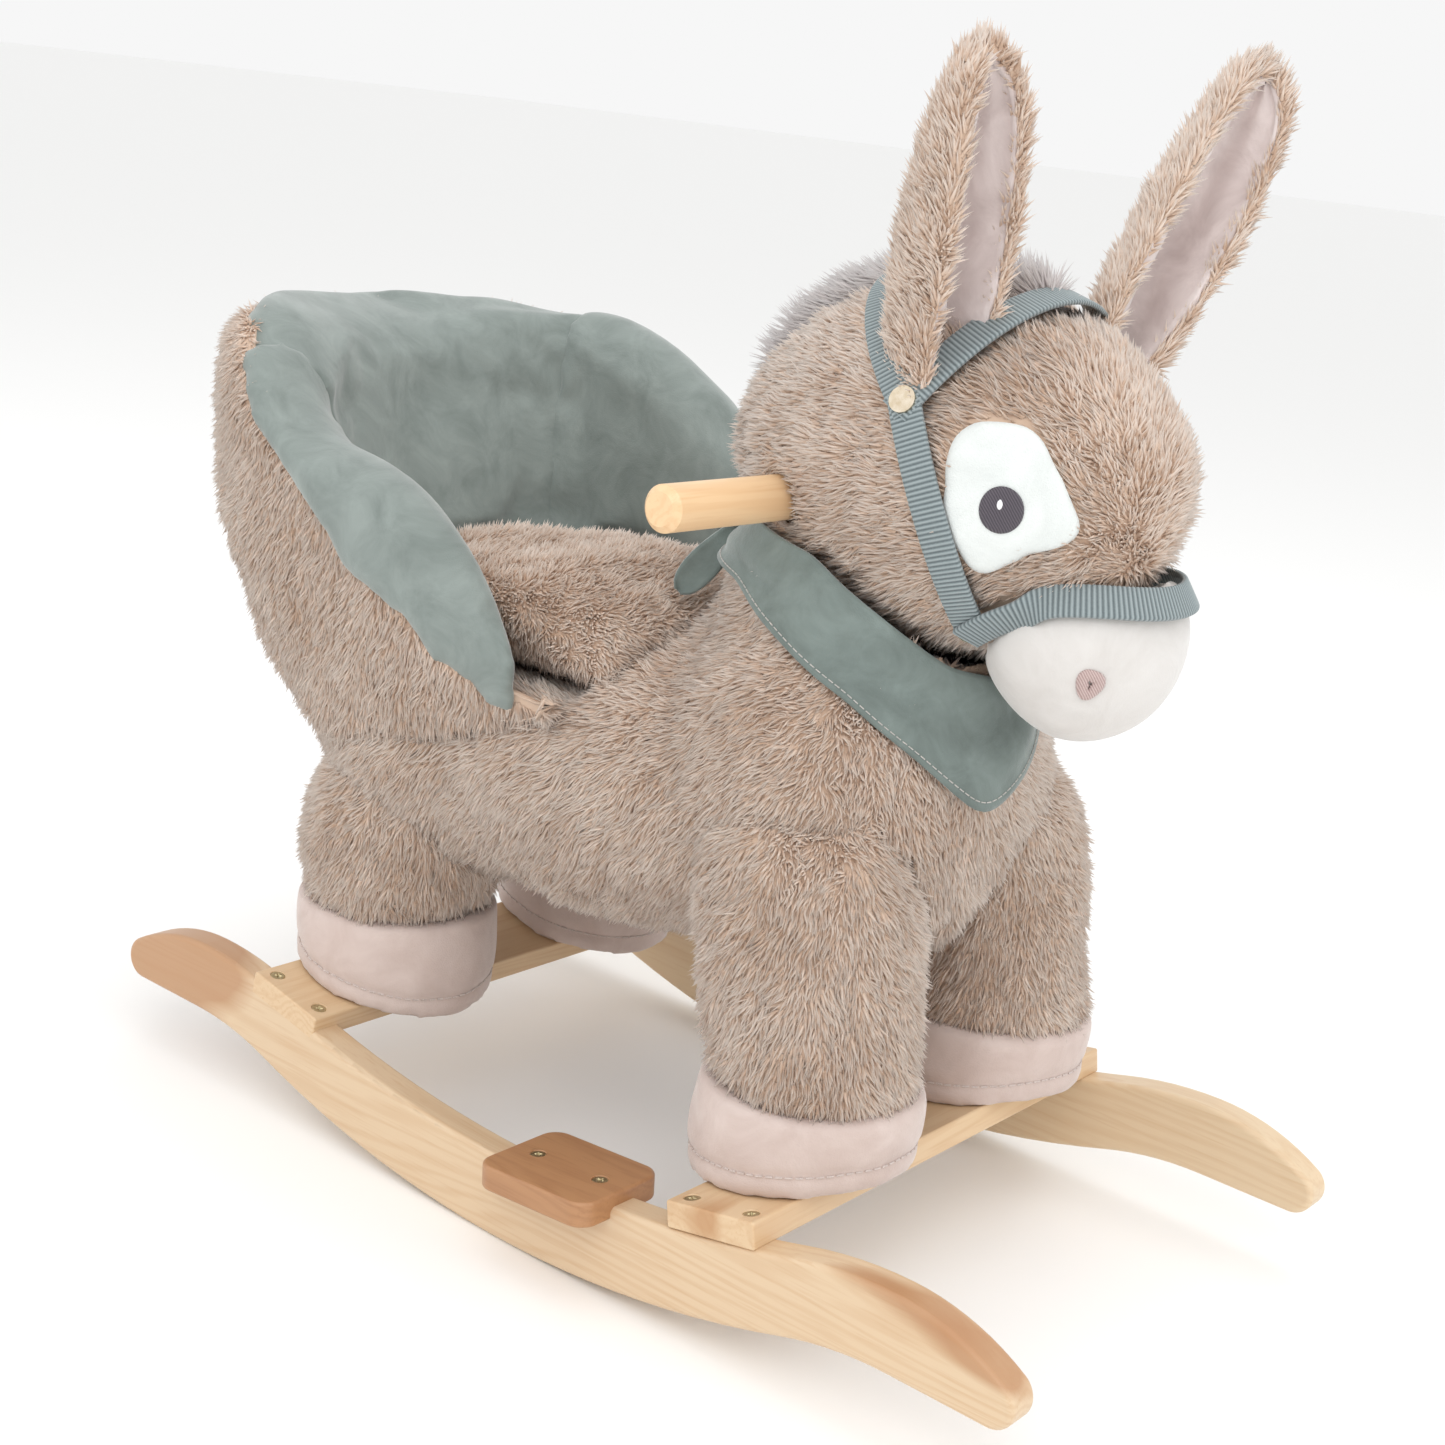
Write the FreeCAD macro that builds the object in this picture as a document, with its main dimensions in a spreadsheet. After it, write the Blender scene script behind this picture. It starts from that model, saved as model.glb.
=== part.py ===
import FreeCAD, Part
import math
import os
import re
from types import SimpleNamespace
from FreeCAD import Placement, Rotation, Vector

# Plush donkey rocker on a wooden rocking frame.
# Millimetres. +X is forward (the donkey's head), +Z up, and the origin is the point
# on the floor midway between the two rockers, under the lowest point of their arcs.

doc = FreeCAD.newDocument("donkey_rocker")

# ---------------------------------------------------------------- driving dimensions
DIMENSIONS = """
frame_width      300    outside to outside of the two rockers
board_thick      18     thickness of a rocker board
rock_radius      567    radius of the rolling arc
rock_reach       175    where the rolling arc ends, from the middle
toe_reach        230    where the underside of a tip turns level
top_radius       640    radius of the board's top edge
mid_depth        42.5   depth of the board in the middle
top_reach        174    where the top arc ends
crown_reach      228    highest point of a tip
crown_radius     110    curve from the highest point down to the nose
nose_radius      11.5    rounding of the tip's nose
edge_round       3      rounding of the rocker's long edges
slat_wide        50     width of a cross slat
slat_thick       13     thickness of a cross slat
slat_tilt        11.2   each slat lies along the rocker's curve
front_slat_at    129    middle of the front slat
rear_slat_at     -159   middle of the rear slat
slat_top         69.3   height of the middle of a slat's top
slat_edge        1.2    rounding of the slat's edges
screw_pitch      34     between the two screws at a slat's end
screw_head       4.2    radius of a countersunk head
screw_shank      2.2    radius of a screw's shank
screw_long       30     length of a screw
head_high_screw  3.5    height of the countersunk cone
rest_long        70     foot rest along the rocker
rest_wide        56     foot rest across the rocker
rest_thick       12.5   thickness of the foot rest
rest_corner      10     rounding of its corners
rest_at          38     middle of the foot rest
rest_tilt        4.6    the foot rest follows the rocker's curve
rest_top         50.5   height of its top
rest_pitch       40     between its two screws
post_side        28     square leg post inside each leg
post_spread      76     leg posts, from the middle plane
deck_under       206    underside of the seat board
deck_thick       15     plywood seat board
deck_long        348    length of the seat board
deck_wide        180    width of the seat board
deck_at          -31    middle of the seat board
deck_corner      14     rounding of its corners
neck_side        42     square neck post inside the neck
handle_at        57     the handle's distance forward
handle_up        370    height of the handle
handle_radius    10.6   radius of the turned handle
handle_long      300    length of the handle
handle_end       3      chamfer at the handle's ends
bore_play        0.1    radial play of the handle in its bore
back_thick       9      plywood back board
back_wide        140    width of the back board
back_high        184    height of the back board
back_lean        29     the back board leans back
hoof_radius      53     radius of a hoof
hoof_top         112    seam between hoof and leg
leg_top          198    where a leg's rounded shoulder starts
shoulder_high    64     height of the rounded shoulder
thigh_radius     55     radius of a leg at the top
front_leg_back   14     how far a front leg stands behind its hoof's middle
front_leg_at     124    middle of the front legs
rear_leg_at      -157   middle of the rear legs
leg_spread       76     legs from the middle plane
rump_long        244    rump length
rump_wide        266    rump width
rump_high        166    rump height
rump_at          -130   middle of the rump
rump_up          207    height of the rump's middle
barrel_long      392    length of the barrel between the legs
barrel_wide      254    width of the barrel
barrel_high      172    height of the barrel
barrel_at        -42    middle of the barrel
barrel_up        214    height of the barrel's middle
chest_long       182    chest length
chest_wide       218    chest width
chest_high       206    chest height
chest_at         70     middle of the chest
chest_up         234    height of the chest's middle
neck_radius      76     neck radius at its top
neck_lean        14     the neck leans forward
neck_high        105    height of the neck
head_long        232    head length
head_wide        166    head width
head_high        174    head height
head_at          108    middle of the head
head_up          391    height of the head's middle
muzzle_long      88     muzzle length
muzzle_wide      102    muzzle width
muzzle_high      92     muzzle height
muzzle_at        187    middle of the muzzle
muzzle_up        328    height of the muzzle's middle
ear_long         152    ear length
ear_wide         52     width of the folded ear
ear_thick        56     depth of the folded ear
ear_turn         4      turn of each ear's opening towards the middle
strap_wide       15     webbing width
strap_thick      1.6    webbing thickness
rivet_radius     6      rivet head radius
rivet_high       2.6    rivet height over the webbing
eye_radius       27     white patch round the eye
pupil_radius     9      embroidered pupil
patch_thick      2      felt patch thickness
wall_top         414    highest edge of the seat's wall
wall_thick       24     fur-side foam of the wall
pad_under        258    underside of the seat pad
pad_crown        302    highest point of the seat pad
rim_radius       302    the rim curves down to the front on this radius
rim_at           -290   where the rim is highest
hem_slope        13.5   how the wall's lower edge rises to the front
hem_back         191    height of the wall's lower edge at the back
seat_front       -22    front of the seat's wall
lining_corner    -205   seam between the back lining and a side lining
scarf_thick      3      folded suede neckerchief
scarf_wide       46     width of the folded neckerchief
scarf_slope      29     it lies lower at the chest
mane_wide        28     width of the mane
mane_high        8      pile of the mane
nostril_radius   5      embroidered nostril
tail_radius      8      tail thickness
tail_long        96     tail length
tail_lean        20     the tail lies along the rump
"""
sheet = doc.addObject("Spreadsheet::Sheet", "Sizes")
number = {}
for row, text in enumerate(DIMENSIONS.strip().splitlines(), start=1):
    alias, value, note = text.split(None, 2)
    sheet.set(f"A{row}", note)
    sheet.set(f"B{row}", value)
    sheet.setAlias(f"B{row}", alias)
doc.recompute()
for row, text in enumerate(DIMENSIONS.strip().splitlines(), start=1):
    alias = text.split(None, 1)[0]
    number[alias] = float(sheet.get(alias))
at = SimpleNamespace(**number)

X_AXIS, Y_AXIS, Z_AXIS = Vector(1, 0, 0), Vector(0, 1, 0), Vector(0, 0, 1)
SIDES = {"right": -1, "left": 1}


# ------------------------------------------------------------------- small helpers
def formula(text):
    """Turn bare size names into references to the spreadsheet."""
    return re.sub(r"[a-z_]+", lambda m: f"Sizes.{m[0]}" if m[0] in number else m[0], text)


def make(kind, name, spot=(0, 0, 0), turn=0, axis=Y_AXIS, **sizes):
    """A primitive whose sizes are formulas, set down at spot and turned about axis."""
    item = doc.addObject(kind, name)
    for size_name, text in sizes.items():
        item.setExpression(size_name, formula(text))
    item.Placement = Placement(Vector(*spot), Rotation(axis, turn))
    return item


def block(name, spot, long, wide, high, turn=0, axis=Y_AXIS):
    """A box centred on spot; turned about its centre."""
    item = make("Part::Box", name, Length=long, Width=wide, Height=high)
    doc.recompute()
    rotation = Rotation(axis, turn)
    half = Vector(item.Length.Value, item.Width.Value, item.Height.Value) * 0.5
    item.Placement = Placement(Vector(*spot) - rotation.multVec(half), rotation)
    return item


def egg(name, spot, long, wide, high, turn=0, axis=Y_AXIS):
    """An ellipsoid given by its whole length, width and height."""
    return make("Part::Ellipsoid", name, spot, turn, axis, Radius2=f"({long}) / 2",
                Radius3=f"({wide}) / 2", Radius1=f"({high}) / 2")


def cut(name, base, *tools):
    """Base with every tool taken away."""
    result = base
    for count, tool in enumerate(tools):
        step = doc.addObject("Part::Cut", f"{name}_cut{count}")
        step.Base, step.Tool = result, tool
        result = step
    return result


def fuse(name, *items):
    joined = doc.addObject("Part::MultiFuse", name)
    joined.Shapes = list(items)
    return joined


def common(name, *items):
    shared = doc.addObject("Part::MultiCommon", name)
    shared.Shapes = list(items)
    return shared


def group(name, items):
    several = doc.addObject("Part::Compound", name)
    several.Links = list(items)
    return several


def open_sketch(body, role):
    """A sketch on one of the body's own origin planes."""
    sketch = body.newObject("Sketcher::SketchObject", body.Name + "_outline")
    plane = [p for p in body.Origin.OriginFeatures if p.Role == role][0]
    sketch.AttachmentSupport = [(plane, "")]
    sketch.MapMode = "FlatFace"
    return sketch


def pad_up(body, sketch, length):
    pad = body.newObject("PartDesign::Pad", body.Name + "_pad")
    pad.Profile = sketch
    pad.Midplane = True
    pad.setExpression("Length", formula(length))
    doc.recompute()
    return pad


def round_edges(body, base, keep, radius, name):
    """Round the edges of base for which keep(edge) is true."""
    names = [f"Edge{i}" for i, edge in enumerate(base.Shape.Edges, start=1) if keep(edge)]
    fillet = body.newObject("PartDesign::Fillet", name)
    fillet.Base = (base, names)
    fillet.setExpression("Radius", formula(radius))
    doc.recompute()
    return fillet


parts = []


def finished(item, label):
    """Name a sub-part; its label is its file's name."""
    item.Label = label
    parts.append(item)
    return item


# ------------------------------------------------------------------- wooden rockers
def rocker_outline():
    """The arcs and lines of a rocker, front half mirrored to the back half."""
    reach = math.asin(at.rock_reach / at.rock_radius)
    heel = (at.toe_reach - at.rock_reach) / math.sin(reach)
    heel_z = at.rock_radius - (at.rock_radius + heel) * math.cos(reach)
    toe_z = heel_z + heel
    bend = math.asin(at.top_reach / at.top_radius)
    dip = (at.crown_reach - at.top_reach) / math.sin(bend)
    top_z = at.mid_depth + at.top_radius
    dip_z = top_z - (at.top_radius + dip) * math.cos(bend)
    crown_z = dip_z + dip - at.crown_radius
    nose_z = toe_z + at.nose_radius
    inner = at.crown_radius - at.nose_radius
    nose_x = at.crown_reach + math.sqrt(inner ** 2 - (nose_z - crown_z) ** 2)
    lean = math.degrees(math.atan2(nose_z - crown_z, nose_x - at.crown_reach))
    reach, bend = math.degrees(reach), math.degrees(bend)

    arcs = [(0, at.rock_radius, at.rock_radius, 270 - reach, 270 + reach),
            (0, top_z, at.top_radius, 270 - bend, 270 + bend)]
    for side in (1, -1):
        ends = [(at.toe_reach, heel_z, heel, 90, 90 + reach),
                (at.crown_reach, dip_z, dip, 90, 90 + bend),
                (at.crown_reach, crown_z, at.crown_radius, lean, 90),
                (nose_x, nose_z, at.nose_radius, -90, lean)]
        for x, z, radius, low, high in ends:
            if side < 0:
                low, high = 180 - high, 180 - low
            arcs.append((side * x, z, radius, low, high))
    lines = [(Vector(side * at.toe_reach, toe_z, 0), Vector(side * nose_x, toe_z, 0))
             for side in (1, -1)]
    return arcs, lines


def rocker_board(side_name):
    body = doc.addObject("PartDesign::Body", f"board_{side_name}")
    sketch = open_sketch(body, "XZ_Plane")
    arcs, lines = rocker_outline()
    for x, z, radius, low, high in arcs:
        circle = Part.Circle(Vector(x, z, 0), Z_AXIS, radius)
        sketch.addGeometry(Part.ArcOfCircle(circle, math.radians(low), math.radians(high)))
    for start, end in lines:
        sketch.addGeometry(Part.LineSegment(start, end))
    pad = pad_up(body, sketch, "board_thick")
    half = at.board_thick / 2

    def on_a_face(edge):
        return all(abs(abs(v.Point.y) - half) < 0.01 for v in edge.Vertexes) \
            and abs(edge.CenterOfMass.y) > half - 0.01
    round_edges(body, pad, on_a_face, "edge_round", f"{body.Name}_round")
    body.Placement.Base = Vector(0, SIDES[side_name] * (at.frame_width - at.board_thick) / 2, 0)
    return body


# ---------------------------------------------------------------------- cross slats
def plank(name, role, length, width, height, edge):
    """A centred board with all its edges eased."""
    body = doc.addObject("PartDesign::Body", name)
    sketch = open_sketch(body, role)
    x, y = length / 2, width / 2
    corners = [Vector(-x, -y, 0), Vector(x, -y, 0), Vector(x, y, 0), Vector(-x, y, 0)]
    for start, end in zip(corners, corners[1:] + corners[:1]):
        sketch.addGeometry(Part.LineSegment(start, end))
    pad = pad_up(body, sketch, height)
    if edge:
        round_edges(body, pad, lambda e: True, edge, f"{name}_eased")
    return body


def on_slat(spot_x, tilt, along, across, up):
    """A point given along, across and above a slat's top, in the rocker's frame."""
    rotation = Rotation(Y_AXIS, tilt)
    return Vector(spot_x, 0, at.slat_top) + rotation.multVec(Vector(along, across, up))


slats = {}
for name, spot_x, tilt in (("front", at.front_slat_at, -at.slat_tilt),
                           ("rear", at.rear_slat_at, at.slat_tilt)):
    body = plank(f"{name}_slat", "XZ_Plane", at.slat_wide, at.slat_thick, "frame_width",
                 "slat_edge")
    centre = on_slat(spot_x, tilt, 0, 0, -at.slat_thick / 2)
    body.Placement = Placement(centre, Rotation(Y_AXIS, tilt))
    slats[name] = (body, spot_x, tilt)


# ----------------------------------------------------------------- countersunk screws
def screw(name, spot, turn=0, axis=Y_AXIS):
    """A countersunk wood screw whose head is flush at spot and whose point is below."""
    rotation = Rotation(axis, turn)
    head = make("Part::Cone", f"{name}_head", Radius1="screw_shank", Radius2="screw_head",
                Height="head_high_screw")
    head.Placement = Placement(spot + rotation.multVec(Vector(0, 0, -at.head_high_screw)),
                               rotation)
    shank = make("Part::Cylinder", f"{name}_shank", Radius="screw_shank",
                 Height="screw_long - head_high_screw")
    shank.Placement = Placement(spot + rotation.multVec(Vector(0, 0, -at.screw_long)), rotation)
    return fuse(name, head, shank)


rocker_line = (at.frame_width - at.board_thick) / 2
slat_screws = []
for name, (body, spot_x, tilt) in slats.items():
    for side in (-1, 1):
        for along in (-1, 1):
            spot = on_slat(spot_x, tilt, along * at.screw_pitch / 2, side * rocker_line, 0)
            slat_screws.append(screw(f"slat_screw{len(slat_screws)}", spot, tilt))
slat_screw_set = group("slat_screw_set", slat_screws)

rest_screws = []
rests = {}
for side_name, side in SIDES.items():
    body = doc.addObject("PartDesign::Body", f"rest_{side_name}")
    sketch = open_sketch(body, "XY_Plane")
    x, y = at.rest_long / 2, at.rest_wide / 2
    corners = [Vector(-x, -y, 0), Vector(x, -y, 0), Vector(x, y, 0), Vector(-x, y, 0)]
    for start, end in zip(corners, corners[1:] + corners[:1]):
        sketch.addGeometry(Part.LineSegment(start, end))
    pad = pad_up(body, sketch, "rest_thick")
    corner = round_edges(body, pad, lambda e: abs(e.tangentAt(e.FirstParameter).z) > 0.9,
                         "rest_corner", f"rest_{side_name}_corners")
    round_edges(body, corner, lambda e: abs(abs(e.CenterOfMass.z) - at.rest_thick / 2) < 0.01,
                "slat_edge * 1.4", f"rest_{side_name}_eased")
    tilt = Rotation(Y_AXIS, -at.rest_tilt)
    top = Vector(at.rest_at, side * rocker_line, at.rest_top)
    body.Placement = Placement(top + tilt.multVec(Vector(0, 0, -at.rest_thick / 2)), tilt)
    rests[side_name] = body
    for along in (-1, 1):
        spot = top + tilt.multVec(Vector(along * at.rest_pitch / 2, 0, 0))
        rest_screws.append(screw(f"rest_screw{len(rest_screws)}", spot, -at.rest_tilt))
rest_screw_set = group("rest_screw_set", rest_screws)

for side_name in SIDES:
    board = rocker_board(side_name)
    seated = cut(f"rocker_{side_name}", board, slats["front"][0], slats["rear"][0],
                 rests[side_name], slat_screw_set, rest_screw_set)
    finished(seated, f"rocker_{side_name}")
    finished(cut(f"footrest_{side_name}", rests[side_name], rest_screw_set),
             f"footrest_{side_name}")

# ------------------------------------------------- wooden frame inside the plush body
# Four posts stand on the slats and carry the seat board; the neck post and the back
# board stand on the seat board.  The handle runs through a bore in the neck post.
deck_spot = (at.deck_at, 0, at.deck_under + at.deck_thick / 2)
deck_blank = block("deck_blank", deck_spot, "deck_long", "deck_wide", "deck_thick")
deck = doc.addObject("Part::Fillet", "deck")
deck.Base = deck_blank
doc.recompute()
deck.Edges = [(i, at.deck_corner, at.deck_corner) for i, edge in
              enumerate(deck_blank.Shape.Edges, start=1)
              if abs(edge.tangentAt(edge.FirstParameter).z) > 0.9]

post_screws = []
posts = {}
slat_beds = {}
for name, (body, spot_x, tilt) in slats.items():
    bed_spot = on_slat(spot_x, tilt, 0, 0, -60)
    slat_beds[name] = block(f"{name}_bed", bed_spot, "slat_wide * 4", "frame_width * 2",
                            "120", tilt)
    for side_name, side in SIDES.items():
        long_post = block(f"{name}_post_{side_name}_long",
                          (spot_x, side * at.post_spread, at.deck_under / 2),
                          "post_side", "post_side", "deck_under")
        posts[name, side_name] = cut(f"{name}_post_{side_name}", long_post, slat_beds[name])
        under = on_slat(spot_x, tilt, 0, side * at.post_spread, -at.slat_thick)
        post_screws.append(screw(f"post_screw{len(post_screws)}", under, 180 + tilt))
post_screw_set = group("post_screw_set", post_screws)

deck_screws = []
for (name, side_name), post in posts.items():
    spot = Vector(slats[name][1], SIDES[side_name] * at.post_spread,
                  at.deck_under + at.deck_thick)
    deck_screws.append(screw(f"deck_screw{len(deck_screws)}", spot))
deck_screw_set = group("deck_screw_set", deck_screws)

neck_base = at.deck_under + at.deck_thick
neck_top = at.handle_up + 30
neck_post = block("neck_post_blank", (at.handle_at, 0, (neck_base + neck_top) / 2),
                  "neck_side", "neck_side", "handle_up + 30 - deck_under - deck_thick")
handle_spot = (at.handle_at, at.handle_long / 2, at.handle_up)
bore = make("Part::Cylinder", "handle_bore", handle_spot, 90, X_AXIS,
            Radius="handle_radius + bore_play", Height="handle_long")
rod = make("Part::Cylinder", "handle_rod", handle_spot, 90, X_AXIS,
           Radius="handle_radius", Height="handle_long")
handle = doc.addObject("Part::Chamfer", "handle_turned")
handle.Base = rod
doc.recompute()
handle.Edges = [(i, at.handle_end, at.handle_end) for i, edge in
                enumerate(rod.Shape.Edges, start=1) if edge.Closed]

lean = Rotation(Y_AXIS, -at.back_lean)
BACK_GAP = 1.1        # the back board's foot clears the seat board's edge
BACK_FOOT_UP = 3
back_foot = Vector(at.deck_at - at.deck_long / 2 - at.back_thick / 2 - BACK_GAP, 0,
                   at.deck_under + BACK_FOOT_UP)
back_spot = back_foot + lean.multVec(Vector(0, 0, at.back_high / 2))
back_board = block("back_blank", tuple(back_spot), "back_thick", "back_wide", "back_high",
                   -at.back_lean)

for name, (body, spot_x, tilt) in slats.items():
    finished(cut(f"{name}_cross_slat", body, slat_screw_set, post_screw_set),
             f"{name}_cross_slat")
finished(slat_screw_set, "slat_screws")
finished(rest_screw_set, "footrest_screws")
for (name, side_name), post in posts.items():
    finished(cut(f"{name}_leg_post_{side_name}", post, post_screw_set, deck_screw_set),
             f"{name}_leg_post_{side_name}")
finished(post_screw_set, "leg_post_screws")
finished(cut("seat_board", deck, deck_screw_set), "seat_board")
finished(deck_screw_set, "seat_board_screws")
finished(cut("neck_post", neck_post, bore), "neck_post")
finished(handle, "handle_bar")
finished(back_board, "back_board")

inner_wood = fuse("inner_wood", deck, neck_post, back_board, bore, *posts.values(),
                  deck_screw_set)

# ------------------------------------------------------------------- the stuffed body
rump = egg("rump", (at.rump_at, 0, at.rump_up), "rump_long", "rump_wide", "rump_high")
barrel = egg("barrel", (at.barrel_at, 0, at.barrel_up), "barrel_long", "barrel_wide",
             "barrel_high")
chest = egg("chest", (at.chest_at, 0, at.chest_up), "chest_long", "chest_wide", "chest_high")
neck_foot = (at.chest_at - 12, 0, at.chest_up + 10)
neck = make("Part::Cone", "neck", neck_foot, at.neck_lean, Y_AXIS,
            Radius1="neck_radius * 1.15", Radius2="neck_radius * 0.94", Height="neck_high")
body_mass = fuse("body_mass", rump, barrel, chest, neck)
head = egg("head_egg", (at.head_at, 0, at.head_up), "head_long", "head_wide", "head_high")


# The seat's wall is a horseshoe: half an oval at the back, straight along the sides.
OVAL_LONG = 130


def horseshoe(name, height, rear, half_width):
    """A closed outline at one height, from its rearmost point to the seat's front."""
    sketch = doc.addObject("Sketcher::SketchObject", name)
    sketch.Placement.Base = Vector(0, 0, height)
    middle = rear + OVAL_LONG
    if half_width > OVAL_LONG:
        oval = Part.Ellipse(Vector(middle, half_width, 0), Vector(rear, 0, 0),
                            Vector(middle, 0, 0))
        arc = Part.ArcOfEllipse(oval, 0, math.pi)
    else:
        oval = Part.Ellipse(Vector(middle, 0, 0), OVAL_LONG, half_width)
        arc = Part.ArcOfEllipse(oval, math.pi / 2, math.pi * 3 / 2)
    sketch.addGeometry(arc)
    front = at.seat_front
    path = [Vector(middle, -half_width, 0), Vector(front, -half_width, 0),
            Vector(front, half_width, 0), Vector(middle, half_width, 0)]
    for start, end in zip(path, path[1:]):
        sketch.addGeometry(Part.LineSegment(start, end))
    return sketch


def wall_loft(name, levels):
    """A smooth tub through outlines given as (height, rearmost point, half width)."""
    loft = doc.addObject("Part::Loft", name)
    loft.Sections = [horseshoe(f"{name}_{i}", *level) for i, level in enumerate(levels)]
    loft.Solid = True
    return loft


# Heights as shares of the wall, with the rearmost point and half width of each face.
shell_levels = [(180, -240, 132), (238, -294, 140), (300, -328, 144), (362, -341, 147),
                (at.wall_top, -330, 143)]
outer = wall_loft("wall_outer", shell_levels)
inset = at.wall_thick
cavity_levels = [(at.pad_under, -306 + inset, 142 - inset), (300, -328 + inset, 144 - inset),
                 (362, -341 + inset, 147 - inset), (at.wall_top + 20, -325 + inset, 141 - inset)]
cavity = wall_loft("wall_cavity", cavity_levels)
hollow = wall_loft("wall_hollow", [(at.pad_under, -190, 88), (300, -210, 94), (362, -254, 99),
                                   (at.wall_top + 20, -292, 101)])

rim_drum = make("Part::Cylinder", "rim_drum", (at.rim_at, 200, at.wall_top - at.rim_radius), 90,
                X_AXIS, Radius="rim_radius", Height="400")
hem_turn = Rotation(Y_AXIS, -at.hem_slope)
hem_spot = Vector(-256, 0, at.hem_back) + hem_turn.multVec(Vector(120, 0, -100))
under_hem = block("under_hem", tuple(hem_spot), "500", "400", "200", -at.hem_slope)

finished(cut("seat_wall", common("wall_under_rim", outer, rim_drum), under_hem, cavity,
             body_mass, inner_wood), "seat_wall")

lining = cut("lining", common("lining_under_rim", cavity, rim_drum), hollow, inner_wood)
back_half = block("back_half", (at.lining_corner - 150, 0, 350), "300", "400", "300")
finished(common("lining_back_part", lining, back_half), "lining_back")
for side_name, side in SIDES.items():
    side_half = block(f"{side_name}_half", (at.lining_corner + 150, side * 100, 350),
                      "300", "200", "300")
    finished(common(f"lining_{side_name}_part", lining, side_half), f"lining_{side_name}")

pad_egg = egg("pad_egg", (-124, 0, at.pad_under), "300", "250", "2 * (pad_crown - pad_under)")
pad_blank = common("pad_blank", hollow, pad_egg)
finished(cut("pad", pad_blank, inner_wood), "seat_pad")

seat_space = block("seat_space", (at.seat_front - 200, 0, at.pad_under + 100), "400", "400",
                   "200")
seat_hole = common("seat_hole", cavity, seat_space)
finished(cut("torso_part", body_mass, head, seat_hole, inner_wood), "torso")

# A short tail hangs down the middle of the back.
tail_foot = (-308, 0, 226)
tail_rod = make("Part::Cylinder", "tail_rod", tail_foot, -at.tail_lean, Y_AXIS,
                Radius="tail_radius", Height="tail_long")
tuft = egg("tail_tuft", (-303, 0, 214), "24", "26", "46", -at.tail_lean)
finished(cut("tail", fuse("tail_whole", tail_rod, tuft), outer, body_mass), "tail")

# ----------------------------------------------------------------- legs and hooves
for name, (slat_body, spot_x, tilt) in slats.items():
    leg_x = at.front_leg_at if name == "front" else at.rear_leg_at
    for side_name, side in SIDES.items():
        back = at.front_leg_back if name == "front" else 0
        spot = (leg_x - back, side * at.leg_spread, at.hoof_top)
        leg = make("Part::Cone", f"{name}_leg_{side_name}_cone", spot, 0, Y_AXIS,
                   Radius1="hoof_radius - 2", Radius2="thigh_radius",
                   Height="leg_top - hoof_top")
        shoulder = egg(f"{name}_shoulder_{side_name}",
                       (leg_x - back, side * at.leg_spread, at.leg_top),
                       "thigh_radius * 2", "thigh_radius * 2", "shoulder_high")
        whole_leg = fuse(f"{name}_whole_leg_{side_name}", leg, shoulder)
        finished(cut(f"{name}_leg_{side_name}_part", whole_leg, body_mass, inner_wood, outer),
                 f"{name}_leg_{side_name}")
        foot = make("Part::Cylinder", f"{name}_hoof_{side_name}_round",
                    (leg_x, side * at.leg_spread, 50), 0, Y_AXIS,
                    Radius="hoof_radius", Height="hoof_top - 50")
        finished(cut(f"{name}_hoof_{side_name}", foot, slat_beds[name], inner_wood,
                     slats[name][0]), f"{name}_hoof_{side_name}")

# -------------------------------------------------------------------- head and ears
finished(cut("head_part", head, inner_wood), "head")
muzzle_egg = egg("muzzle_egg", (at.muzzle_at, 0, at.muzzle_up), "muzzle_long", "muzzle_wide",
                 "muzzle_high")
finished(cut("muzzle_part", muzzle_egg, head, body_mass), "muzzle")


def head_plus(name, more):
    """The head's egg, thicker all round by a formula."""
    return egg(name, (at.head_at, 0, at.head_up), f"head_long + 2 * ({more})",
               f"head_wide + 2 * ({more})", f"head_high + 2 * ({more})")


def muzzle_plus(name, more):
    return egg(name, (at.muzzle_at, 0, at.muzzle_up), f"muzzle_long + 2 * ({more})",
               f"muzzle_wide + 2 * ({more})", f"muzzle_high + 2 * ({more})")


def on_head(x, z, side):
    """The point of the head's surface at x and z, on one side, and its outward normal."""
    share = 1 - ((x - at.head_at) / (at.head_long / 2)) ** 2 \
        - ((z - at.head_up) / (at.head_high / 2)) ** 2
    y = side * at.head_wide / 2 * math.sqrt(max(share, 0))
    normal = Vector((x - at.head_at) / at.head_long ** 2, y / at.head_wide ** 2,
                    (z - at.head_up) / at.head_high ** 2)
    return Vector(x, y, z), normal.normalize()


# Each ear: where its root is sewn in, how far it leans forward and how far outward.
ears = {"right": ((117, -54, 440), 12, 14), "left": ((146, 54, 455), 13, 19)}
for side_name, (root, forward, outward) in ears.items():
    side = SIDES[side_name]
    lean = Rotation(X_AXIS, -side * outward).multiply(Rotation(Y_AXIS, forward))
    rotation = lean.multiply(Rotation(Z_AXIS, -side * at.ear_turn))
    middle = Vector(*root) + rotation.multVec(Vector(0, 0, at.ear_long * 0.46))
    shell = make("Part::Ellipsoid", f"ear_{side_name}_egg", Radius1="ear_long / 2",
                 Radius2="ear_thick / 2", Radius3="ear_wide / 2")
    shell.Placement = Placement(middle, rotation)
    inner = make("Part::Ellipsoid", f"ear_{side_name}_inner_egg", Radius1="ear_long / 2 * 0.84",
                 Radius2="ear_thick / 2 * 0.56", Radius3="ear_wide / 2 * 0.66")
    inner.Placement = Placement(middle + rotation.multVec(Vector(at.ear_thick * 0.3, 0, -4)),
                                rotation)
    finished(cut(f"ear_{side_name}", shell, inner, head), f"ear_{side_name}")
    finished(cut(f"ear_lining_{side_name}", inner, head), f"ear_lining_{side_name}")

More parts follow.
